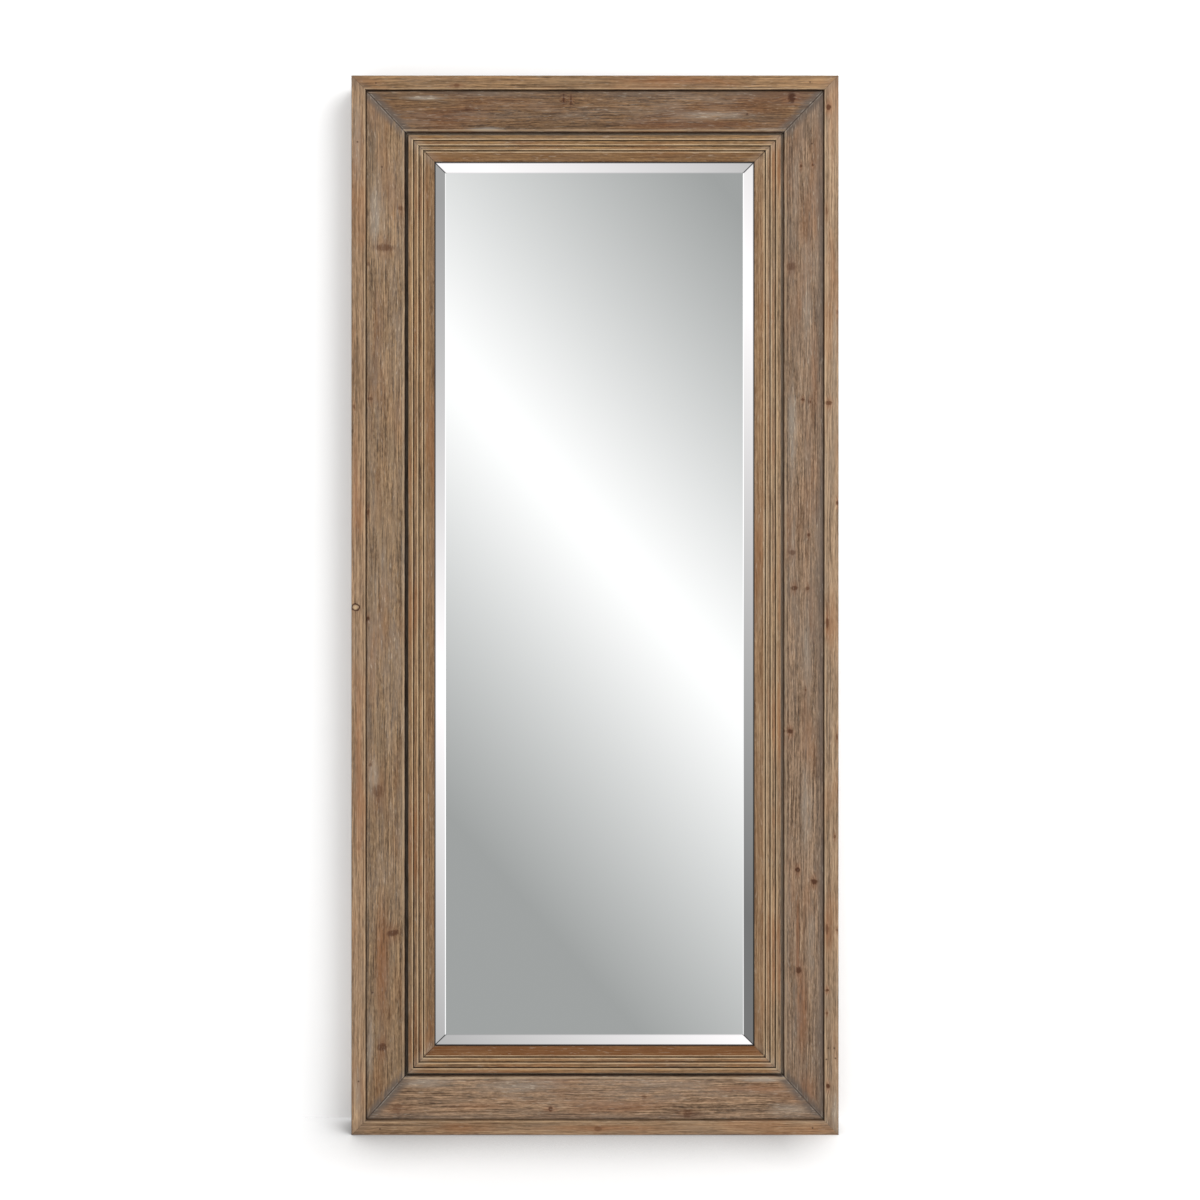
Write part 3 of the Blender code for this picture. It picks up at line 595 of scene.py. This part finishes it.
    def glazed(self, colour):
        """Grey glaze: a thin veil with thicker smears, and more at the mitres and in the hollows, with
        painted shadow of the strip along the panel's outer edge.
        """
        veil = self.math("MULTIPLY", self.spread(self.smear, 0.32, 0.72),
                         self.spread(self.cloud, 0.35, 0.7))
        self.veil = self.math("MULTIPLY", veil, GLAZE[self.kind])
        self.left_on = self.math("MULTIPLY", self.drawn_out(GLAZE_SMEARS.get(self.member, [])),
                                 self.spread(self.smear, 0.35, 0.60, 0.35, 1.0))
        at_mitre = self.spread(self.to_mitre, *MITRE_GLAZE_REACH, MITRE_GLAZE[self.kind], 0.0)
        at_mitre = self.math("MULTIPLY", at_mitre, self.spread(self.smear, 0.25, 0.55, 0.25, 1.0))
        self.deep = self.math("MAXIMUM", at_mitre, self.glaze_and_shade_in_hollows())
        colour = self.mix(self.veil, colour, srgb(*GLAZE_VEIL))
        colour = self.mix(self.left_on, colour, srgb(*GLAZE_SMEAR))
        # The glaze in the hollows, with the painted shadow of the strip along the panel's outer edge.
        return self.mix(self.deep, colour, srgb(*HOLLOW_GLAZE_AND_SHADE[self.kind]))

    def glaze_and_shade_in_hollows(self):
        """The glaze left along the panel's two edges, with painted shadow of the strip along its outer
        edge, and in the liner's channel.
        """
        if self.kind == "sloped_panel":
            # Along the outer edge: glaze, with painted shadow of the strip, strongest on the right.
            outer = self.linear(self.inward, *[PANEL_OUTER + reach for reach in OUTER_GLAZE_AND_SHADOW_REACH],
                                EDGE_GLAZE_AND_SHADOW[self.side], 0.0)
            inner = self.linear(self.inward, *[PANEL_INNER - reach for reach in INNER_GLAZE_REACH],
                                0.0, 0.22)
            edge = self.math("MAXIMUM", outer, inner)
            return self.math("MULTIPLY", edge, self.spread(self.cloud, 0.30, 0.58, 0.5, 1.0))
        if self.kind == "reeded_liner":
            channel = self.linear(self.inward, CHANNEL_EDGE - 0.001, CHANNEL_EDGE + 0.001, 0.90, 0.0)
            return self.math("MULTIPLY", channel, self.spread(self.smear, 0.35, 0.55, 0.6, 1.0))
        return 0.0

    def knotted(self, colour):
        """The knots' ragged cores, too dense to take the glaze."""
        return self.mix(self.core, colour, self.tint(0.58, 0.40, 0.24))

    def red_fillet(self, colour):
        """The liner's flat inner fillet, darker and redder, most of all along the bottom."""
        share = self.linear(self.inward, QUIRK_ENDS[-1], QUIRK_ENDS[-1] + 0.001,
                            0.0, FILLET_RED[self.side])
        share = self.math("MULTIPLY", share, self.spread(self.streak, 0.30, 0.62, 1.25, 0.70))
        return self.mix(share, colour, self.tint(0.84, 0.69, 0.46))

    def flecked(self, colour):
        """Pale flecks where the glaze has caught."""
        fleck = self.noise(self.grain, (60, 400, 400), (4, 1, self.seed), detail=2)
        fleck = self.math("MULTIPLY_ADD", self.left_on, 0.05, fleck)
        fleck = self.spread(fleck, 0.61, 0.69)
        caught = self.math("MAXIMUM", self.veil, self.left_on)
        caught = self.math("MAXIMUM", caught, self.math("MULTIPLY", self.deep, 0.25))
        caught = self.math("MULTIPLY_ADD", caught, 0.55, 0.14)
        return self.mix(self.math("MULTIPLY", fleck, caught), colour, srgb(*GLAZE_FLECK))

    def edge_bands(self):
        """The bands (low, high) that are rubbed pale, with painted highlights, and those (low, high,
        strength) that are dark with stain and painted shade, by how far inward they lie."""
        if self.kind == "edge_strip":
            pale = [(STRIP_INNER - 0.0030, STRIP_INNER - 0.0016)]
            # The joint with the panel: stain, with painted shadow of the strip; and a dark line along
            # the outer edge.
            dark = [(STRIP_INNER - 0.0002, STRIP_INNER + 0.001, JOINT_STAIN_AND_SHADOW[self.side]),
                    (-0.001, 0.0008, 0.45)]
        elif self.kind == "sloped_panel":
            pale = [(PANEL_INNER - 0.0044, PANEL_INNER - 0.0022)]
            # The joint with the strip and the edge at the channel: stain, with painted shade.
            dark = [(PANEL_OUTER - 0.001, PANEL_OUTER + 0.0012, JOINT_STAIN_AND_SHADOW[self.side]),
                    (PANEL_INNER - 0.0004, PANEL_INNER + 0.001, CHANNEL_STAIN_AND_SHADE[self.side])]
        else:
            starts = [end - QUIRK_WIDTH for end in QUIRK_ENDS]
            pale = [(start - 0.0026, start - 0.0008) for start in starts]
            pale.append((QUIRK_ENDS[-1] + 0.0012, QUIRK_ENDS[-1] + 0.0026))
            # The quirks: stain, with painted shade.
            dark = [(start - 0.0002, end + 0.0004, QUIRK_STAIN_AND_SHADE[self.side])
                    for start, end in zip(starts, QUIRK_ENDS)]
            # Painted shade along the liner's lip, beside the glass.
            dark.append((LINER_INNER - 0.0007, LINER_INNER + 0.001, 0.9))
            # The channel: stain, with painted shade.
            dark.append((LINER_OUTER - 0.001, CHANNEL_EDGE + 0.0004, CHANNEL_STAIN_AND_SHADE[self.side]))
        return pale, dark

    def edge_lines(self, colour):
        """Pale lines where the edges are rubbed through, also standing in for painted highlights, and
        dark stain with painted shade in the joints, the channel, the quirks and along the lip.
        """
        pale, dark = self.edge_bands()
        rubbed_and_lit = RUBBED_AND_HIGHLIGHT[self.kind]
        worn_and_lit = self.spread(self.smear, 0.34, 0.58, rubbed_and_lit * 0.4, rubbed_and_lit)
        stain_and_shade = self.spread(self.smear, 0.30, 0.60, 0.95, 0.70)
        # Pale worn edges, which also stand in for painted highlights.
        for low, high in pale:
            share = self.math("MULTIPLY", self.band(self.inward, low, high, 0.0005), worn_and_lit)
            colour = self.mix(share, colour, srgb(*EDGE_PALE_AND_HIGHLIGHT))
        # Dark bands of stain, with painted shade.
        for low, high, strength in dark:
            share = self.math("MULTIPLY", self.band(self.inward, low, high, 0.0004), stain_and_shade)
            colour = self.mix(self.math("MULTIPLY", share, strength), colour, srgb(*STAIN_AND_SHADE_DARK))
        return colour

    def mitre_seam(self, colour):
        """The hairline of the mitre joint: a dark seam with a broken pale rub beside it."""
        strength = SEAM[self.kind]
        rub = self.math("MULTIPLY", self.band(self.to_mitre, *SEAM_RUB, 0.0008),
                        self.spread(self.smear, 0.42, 0.60, 0.0, strength * 0.7))
        colour = self.mix(rub, colour, srgb(*SEAM_PALE))
        seam = self.linear(self.to_mitre, *SEAM_REACH, strength, 0.0)
        return self.mix(seam, colour, srgb(*SEAM_DARK))

    def loose_knots(self, colour):
        for spot in LOOSE_KNOTS.get(self.member, []):
            far = self.math("MULTIPLY_ADD", self.ragged, 0.5, self.from_spot(*spot))
            heart = self.math("MULTIPLY", self.linear(far, 0.35, 0.70, 0.85, 0.0),
                              self.spread(self.fibre, 0.36, 0.60, 0.45, 1.0))
            colour = self.mix(heart, colour, srgb(*LOOSE_HEART))
            colour = self.mix(self.band(far, 0.80, 0.95, 0.16), colour, srgb(*LOOSE_RING))
        return colour

    def nail_holes(self, colour):
        for along, inward in NAIL_HOLES.get(self.member, []):
            far = self.from_spot(along, inward, NAIL_HOLE, NAIL_HOLE)
            colour = self.mix(self.linear(far, 0.6, 1.2, 0.8, 0.0), colour, srgb(*NAIL_FILLER))
        return colour

    def add_sheen_and_relief(self):
        """A low sheen, duller where glaze lies thick and along the painted shadow, and open streaks,
        fibres and pores.
        """
        dullness = self.linear(self.streak, 0.3, 0.7, 0.62, 0.52)
        dullness = self.math("MULTIPLY_ADD", self.deep, 0.16, dullness)
        self.set({"Roughness": dullness, "Specular IOR Level": 0.3})
        height = self.math("MULTIPLY_ADD", self.streak, 0.8, self.math("MULTIPLY", self.fibre, 0.5))
        height = self.math("SUBTRACT", height, self.math("MULTIPLY", self.pore, 0.5))
        height = self.math("SUBTRACT", height, self.math("MULTIPLY", self.core, 0.4))
        self.bump(height, 0.45, 0.0006)


def worn_moulding(node, side):
    """The moulding cut into short lengths, its faces very slightly scooped and its edges worn, but
    not where it meets its neighbours at the mitres."""
    bm = welded_mesh(node)
    grain_axis, inward_axis = (2, 0) if side in ("left", "right") else (0, 2)
    _, middle, _, edge, sign = SIDES[side]
    low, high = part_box(node)
    direction = Vector((0, 0, 1)) if grain_axis == 2 else Vector((1, 0, 0))
    count = int((high[grain_axis] - low[grain_axis]) / SLICE)
    for step in range(1, count):
        place = low.lerp(high, step / count)
        bmesh.ops.bisect_plane(bm, geom=bm.verts[:] + bm.edges[:] + bm.faces[:], dist=WELD / 10,
                               plane_co=place, plane_no=direction)
    bm.normal_update()
    for vert in bm.verts:
        sharpness = vert.calc_shell_factor() - 1
        stretched = Vector(vert.co)
        stretched[grain_axis] *= WEAR_STRETCH
        scoop = noise.noise(stretched * SCOOPS) * 0.5 + 0.5
        nick = max(0.0, noise.noise(stretched * NICKS) - NICK_ONSET)
        inset = WEAR_DEPTH * (0.5 * scoop + min(1.0, sharpness * 2) * nick * 2)
        inward = (vert.co[inward_axis] - edge) * sign
        to_mitre = half_length(side) - abs(vert.co[grain_axis] - middle) - inward
        vert.co -= vert.normal * inset * min(1.0, max(0.0, to_mitre / TIGHT_JOINT))
    return bm


def finish_mouldings():
    members = [(kind, side) for kind in TONES for side in SIDES]
    for seed, (kind, side) in enumerate(members, start=1):
        node = f"{kind}_{side}"
        material = AntiquedFir(kind, side, seed).material
        piece = finished_piece(node, worn_moulding(node, side), material)
        piece.modifiers.new("even faces", "WEIGHTED_NORMAL").keep_sharp = True


# ---------------------------------------------------------------- mirror glass

# How far each ground bevel turns what is seen in it towards the middle of the sheet, in degrees, and
# which way that is.
BEVEL_TILTS = {"left": 7.2, "right": 9.2, "top": 5.2, "bottom": 7.6}
BEVEL_WAYS = {"left": (1, 0), "right": (-1, 0), "top": (0, -1), "bottom": (0, 1)}

# The bevel's width, and the breadths of the shade beside the lip and of the bevels' edge lines.
BEVEL_WIDTH = 0.0295
LIP_LINE = 0.0022
ARRIS_LINE = 0.0012

# How bright the line of light along each bevel's inner edge is.
ARRIS_LIGHT = {"left": 0.75, "right": 0.75, "top": 0.0, "bottom": 0.0}

# The silvering's reflectance, in the flat sheet and in its bevels, and the dark lines' colours.
SILVER = (0.955, 0.965, 0.962, 1.0)
BEVEL_SILVER = (0.975, 0.952, 0.957, 1.0)
LIP_SHADE = (40, 32, 26)
MITRE_SHADE = (50, 50, 54)
ARRIS_SHADE = (120, 122, 124)

# The bevels are the faces whose normal's Y lies between these.
BEVEL_FACING = (-0.9999, -0.9)


class SilveredGlass(Shader):
    """Silvered glass, shaded along the lip that holds it."""

    def __init__(self, name, silver=SILVER):
        super().__init__(name)
        axes = self.place_axes()
        middle = (GLASS_LOW + GLASS_HIGH) / 2
        from_side = self.math("ABSOLUTE", self.math("SUBTRACT", axes["X"], middle.x))
        self.from_side = self.math("SUBTRACT", GLASS_HIGH.x - middle.x, from_side)
        from_end = self.math("ABSOLUTE", self.math("SUBTRACT", axes["Z"], middle.z))
        self.from_end = self.math("SUBTRACT", GLASS_HIGH.z - middle.z, from_end)
        self.inset = self.math("MINIMUM", self.from_side, self.from_end)
        lip = LINER_INNER - (GLASS_LOW.x - cad_low.x)
        shaded = self.linear(self.inset, lip + LIP_LINE * 0.6, lip + LIP_LINE, 0.85, 0.0)
        self.mirror = self.mix(shaded, silver, srgb(*LIP_SHADE))
        self.set({"Base Color": self.mirror, "Metallic": 1.0, "Roughness": 0.0})


class GroundBevel(SilveredGlass):
    """One ground bevel. It bends what is seen in it towards the middle of the sheet, as a prism does,
    so its reflection is turned that way from the sheet's own normal."""

    def __init__(self, side):
        super().__init__(f"bevel_{side}", BEVEL_SILVER)
        mitre = self.math("ABSOLUTE", self.math("SUBTRACT", self.from_side, self.from_end))
        line = self.linear(mitre, ARRIS_LINE, ARRIS_LINE * 1.6, 0.85, 0.0)
        mirror = self.mix(line, self.mirror, srgb(*MITRE_SHADE))
        arris = self.linear(self.inset, BEVEL_WIDTH - ARRIS_LINE * 1.6, BEVEL_WIDTH - ARRIS_LINE)
        mirror = self.mix(self.math("MULTIPLY", arris, 0.3), mirror, srgb(*ARRIS_SHADE))
        turn = math.tan(math.radians(BEVEL_TILTS[side]))
        sideways, upward = BEVEL_WAYS[side]
        turned = Vector((sideways * turn, -1.0, upward * turn)).normalized()
        normal = self.add("ShaderNodeVectorTransform", {"Vector": tuple(turned)},
                          vector_type="NORMAL", convert_from="OBJECT", convert_to="WORLD")
        self.set({"Base Color": mirror, "Normal": normal, "Emission Color": WHITE,
                  "Emission Strength": self.math("MULTIPLY", arris, ARRIS_LIGHT[side])})


def finish_glass():
    """The sheet, with a material of its own for each bevel."""
    piece = finished_piece("mirror_glass", welded_mesh("mirror_glass"),
                           SilveredGlass("silvered_glass").material)
    piece.data.shade_flat()
    middle = (GLASS_LOW + GLASS_HIGH) / 2
    for side in BEVEL_WAYS:
        piece.data.materials.append(GroundBevel(side).material)
    ways = list(BEVEL_WAYS.values())
    for face in piece.data.polygons:
        if not BEVEL_FACING[0] < face.normal.y < BEVEL_FACING[1]:
            continue
        away = face.center - middle
        if abs(face.normal.x) > abs(face.normal.z):
            way = (-1 if away.x > 0 else 1, 0)
        else:
            way = (0, -1 if away.z > 0 else 1)
        face.material_index = ways.index(way) + 1


# ---------------------------------------------------------------- back and hardware

# How far the sharp edges of small parts are rounded.
BLOCK_ROUND = 0.0001
STEEL_ROUND = 0.00012
SCREW_ROUND = 0.00008


def raw_pine(name, side, seed):
    """Planed, unstained pine for the boards of the back."""
    shader = Shader(f"raw_pine_{name}")
    along, inward, depth = member_coordinates(shader, side)
    grain = shader.vector(along, inward, depth)
    offset = (seed * 2.3, seed * 4.1, seed)
    drift = shader.noise(grain, (1.1, 9, 9), offset, detail=3)
    ring = shader.math("MULTIPLY_ADD", inward, 90.0, shader.math("MULTIPLY", drift, 14.0))
    ring = shader.math("FRACT", ring)
    late_wood = shader.math("MULTIPLY", shader.linear(ring, 0.1, 0.8),
                            shader.linear(ring, 0.82, 1.0, 1.0, 0.0))
    streak = shader.noise(grain, (5, 160, 160), offset, detail=5, roughness=0.6)
    colour = shader.ramp(streak, [(0.3, srgb(196, 164, 118)), (0.7, srgb(222, 194, 150))])
    colour = shader.mix(shader.math("MULTIPLY", late_wood, 0.5), colour, srgb(178, 132, 82))
    shader.set({"Base Color": colour, "Roughness": shader.linear(streak, 0.3, 0.7, 0.72, 0.62)})
    shader.bump(shader.math("MULTIPLY_ADD", late_wood, -0.3, streak), 0.3, 0.0005)
    return shader.material


def fibreboard():
    """Brown hardboard: a felted surface of short fibres."""
    shader = Shader("fibreboard")
    place = shader.place()
    fibres = shader.noise(place, (420, 420, 420), detail=4, roughness=0.7, distortion=1.5)
    cloud = shader.noise(place, (5, 5, 5))
    colour = shader.ramp(fibres, [(0.3, srgb(104, 76, 50)), (0.7, srgb(142, 108, 74))])
    colour = shader.mix(shader.spread(cloud, 0.4, 0.7, 0.0, 0.35), colour, srgb(92, 66, 44))
    shader.set({"Base Color": colour, "Roughness": shader.linear(fibres, 0.3, 0.7, 0.82, 0.7)})
    shader.bump(fibres, 0.4, 0.0004)
    return shader.material


def plated_steel(name, colour, roughness, scratch=0.35):
    """Plated steel with faint brushing and a cloudy sheen."""
    shader = Shader(name)
    place = shader.place()
    brushed = shader.noise(place, (900, 900, 120), detail=3)
    cloud = shader.noise(place, (90, 90, 90))
    darker = srgb(*[value * 0.86 for value in colour])
    shader.set({"Base Color": shader.mix(shader.spread(cloud, 0.35, 0.7), srgb(*colour), darker),
                "Metallic": 1.0,
                "Roughness": shader.linear(brushed, 0.3, 0.7, roughness, roughness + 0.14)})
    shader.bump(brushed, scratch, 0.0001)
    return shader.material


def moulded_rubber(name, colour, roughness):
    """Rubber with a fine speckle and paler, dusty clouds."""
    shader = Shader(name)
    place = shader.place()
    speck = shader.noise(place, (1600, 1600, 1600), detail=2)
    cloud = shader.noise(place, (130, 130, 130), detail=3)
    paler = srgb(*[value * 1.35 for value in colour])
    shader.set({"Base Color": shader.mix(shader.spread(cloud, 0.4, 0.7), srgb(*colour), paler),
                "Roughness": shader.linear(speck, 0.3, 0.7, roughness, roughness + 0.15)})
    shader.bump(speck, 0.3, 0.0002)
    return shader.material


def rounded_copy(node, material, width):
    """The CAD node's shape with its sharp edges broken by a small round."""
    piece = finished_piece(node, welded_mesh(node), material)
    bevel = piece.modifiers.new("broken edges", "BEVEL")
    bevel.width = width
    bevel.segments = ROUND_SEGMENTS
    bevel.limit_method = "ANGLE"
    bevel.angle_limit = ROUNDED_ANGLE
    bevel.harden_normals = True


def finish_back():
    """The boards, the rubber blocks and bumpers, and the plated clips, hangers, rings and screws."""
    boards = {"back_rail_bottom": "bottom", "back_rail_top": "top",
              "back_stile_left": "left", "back_stile_right": "right"}
    for seed, (node, side) in enumerate(boards.items(), start=1):
        finished_piece(node, welded_mesh(node), raw_pine(node, side, seed))
    finished_piece("backing_board", welded_mesh("backing_board"), fibreboard())
    black_rubber = moulded_rubber("setting_rubber", (38, 38, 38), 0.7)
    bumper_rubber = moulded_rubber("bumper_rubber", (74, 66, 58), 0.5)
    zinc = plated_steel("zinc_plate", (196, 197, 196), 0.34)
    nickel = plated_steel("nickel_plate", (206, 202, 194), 0.16, 0.1)
    yellow_zinc = plated_steel("yellow_zinc_plate", (204, 178, 118), 0.28)
    for node in sorted(frame["nodes"]):
        if node.startswith("glass_setting_block"):
            rounded_copy(node, black_rubber, BLOCK_ROUND)
        elif node.startswith("wall_bumper"):
            finished_piece(node, welded_mesh(node, dissolve=False), bumper_rubber)
        elif node.startswith(("retaining_clip", "hanger_strap")):
            rounded_copy(node, zinc, STEEL_ROUND)
        elif node.startswith("d_ring"):
            finished_piece(node, welded_mesh(node, dissolve=False), nickel)
        elif node.startswith(("clip_screw", "hanger_screw")):
            rounded_copy(node, yellow_zinc, SCREW_ROUND)


# ---------------------------------------------------------------- stage, light and camera

def stage_plane(name, corners, material):
    mesh = bpy.data.meshes.new(name)
    bm = bmesh.new()
    bm.faces.new([bm.verts.new(corner) for corner in corners])
    bm.to_mesh(mesh)
    bm.free()
    mesh.materials.append(material)
    plane = bpy.data.objects.new(name, mesh)
    bpy.context.scene.collection.objects.link(plane)
    return plane


def lit_backdrop(name, glow):
    """A pale matt stage surface that also gives off a little even light, as a lit backdrop does."""
    shader = Shader(name)
    shader.set({"Base Color": STAGE_PAINT, "Roughness": STAGE_ROUGHNESS, "Specular IOR Level": 0.0,
                "Emission Color": WHITE, "Emission Strength": glow})
    return shader


def add_floor():
    """A pale floor with a soft contact shade that falls away on the lit side, the right."""
    shader = lit_backdrop("pale_floor", FLOOR_GLOW)
    open_share = shader.add("ShaderNodeAmbientOcclusion", {"Distance": CONTACT_REACH},
                            output="AO", samples=8)
    shade = shader.linear(open_share, 0.5, 1.0, CONTACT_SHADE, 0.0)
    to_right = shader.linear(shader.place_axes()["X"], *CONTACT_END, 1.0, 0.0)
    shade = shader.math("SUBTRACT", 1.0, shader.math("MULTIPLY", shade, to_right))
    shader.set({"Base Color": shader.mix(shade, BLACK, STAGE_PAINT),
                "Emission Strength": shader.math("MULTIPLY", shade, FLOOR_GLOW)})
    x, y = FLOOR_HALF_WIDTH, FLOOR_HALF_DEPTH
    floor = stage_plane("floor", [(-x, -y, 0), (x, -y, 0), (x, y, 0), (-x, y, 0)], shader.material)
    floor.visible_glossy = False


def add_wall():
    """A pale wall just behind the mirror that takes its shadow, and is open from behind."""
    shader = lit_backdrop("pale_wall", WALL_GLOW)
    open_back = shader.add("ShaderNodeBsdfTransparent")
    from_behind = shader.add("ShaderNodeNewGeometry", output="Backfacing")
    shader.show(shader.add("ShaderNodeMixShader", {
        0: from_behind, 1: shader.surface.outputs[0], 2: open_back}))
    x, y, z = WALL_HALF_WIDTH, BACK + WALL_GAP, WALL_HEIGHT
    wall = stage_plane("wall", [(-x, y, 0), (x, y, 0), (x, y, z), (-x, y, z)], shader.material)
    wall.visible_shadow = False
    wall.visible_diffuse = False
    wall.visible_glossy = False


def add_reflected_card():
    """A large card far in front of the mirror, seen only in reflections: a bright diagonal band
    that fades evenly to grey on both sides of it."""
    reach = GLASS_LOW.y - CAMERA_PLACE.y
    enlarged = (reach + CARD_DISTANCE) / reach
    shader = Shader("reflected_card")
    axes = shader.place_axes()
    across = shader.math("MULTIPLY", axes["X"], 1 / enlarged)
    upward = shader.math("MULTIPLY", axes["Z"], 1 / enlarged)
    from_band = shader.math("MULTIPLY_ADD", across, BAND_SLOPE, upward)
    from_band = shader.math("SUBTRACT", from_band, BAND_HEIGHT)
    bright = shader.math("MINIMUM", shader.math("MULTIPLY_ADD", from_band, *FADE_ABOVE),
                         shader.math("MULTIPLY_ADD", from_band, *FADE_BELOW))
    bright = shader.math("MINIMUM", bright, 1.0)
    bright = shader.math("MAXIMUM", bright, shader.linear(across, *LEAST_BRIGHT))
    light = shader.math("POWER", bright, DISPLAY_POWER)
    tint = shader.mix(shader.linear(bright, 0.6, 0.95), CARD_TINT, WHITE)
    strength = shader.math("MULTIPLY", light, CARD_LIGHT)
    shader.show(shader.add("ShaderNodeEmission", {"Color": tint, "Strength": strength}))
    half = CARD_SIZE / 2
    card = stage_plane("reflected_card", [(-half, 0, -half), (half, 0, -half), (half, 0, half),
                                          (-half, 0, half)], shader.material)
    card.location = (CAMERA_PLACE.x, GLASS_LOW.y - CARD_DISTANCE, CAMERA_PLACE.z)
    for ray in ("camera", "diffuse", "transmission", "volume_scatter", "shadow"):
        setattr(card, f"visible_{ray}", False)


def add_key_light():
    light = bpy.data.lights.new("key_light", "AREA")
    light.shape = "DISK"
    light.size = KEY_SIZE
    light.energy = KEY_POWER
    lamp = bpy.data.objects.new("key_light", light)
    lamp.location = KEY_PLACE
    lamp.rotation_euler = (Vector(KEY_TARGET) - Vector(KEY_PLACE)).to_track_quat("-Z", "Y").to_euler()
    lamp.visible_glossy = False
    lamp.visible_camera = False
    bpy.context.scene.collection.objects.link(lamp)


def add_sky():
    world = bpy.data.worlds.new("soft_daylight")
    world.use_nodes = True
    background = world.node_tree.nodes["Background"]
    background.inputs["Color"].default_value = WHITE
    background.inputs["Strength"].default_value = SKY_STRENGTH
    bpy.context.scene.world = world


def add_camera():
    camera = bpy.data.cameras.new("photo_camera")
    camera.sensor_width = SENSOR
    camera.lens = SENSOR * (FRONT - CAMERA_PLACE.y) / SEEN_WIDTH
    camera.shift_x = SHIFT_X
    camera.shift_y = SHIFT_Y
    holder = bpy.data.objects.new("photo_camera", camera)
    holder.location = CAMERA_PLACE
    holder.rotation_euler = (math.pi / 2, 0, 0)
    bpy.context.scene.collection.objects.link(holder)
    bpy.context.scene.camera = holder


# ---------------------------------------------------------------- the scene

bpy.context.scene.view_settings.view_transform = "Standard"
add_camera()
finish_mouldings()
finish_glass()
finish_back()
add_floor()
add_wall()
add_reflected_card()
add_key_light()
add_sky()
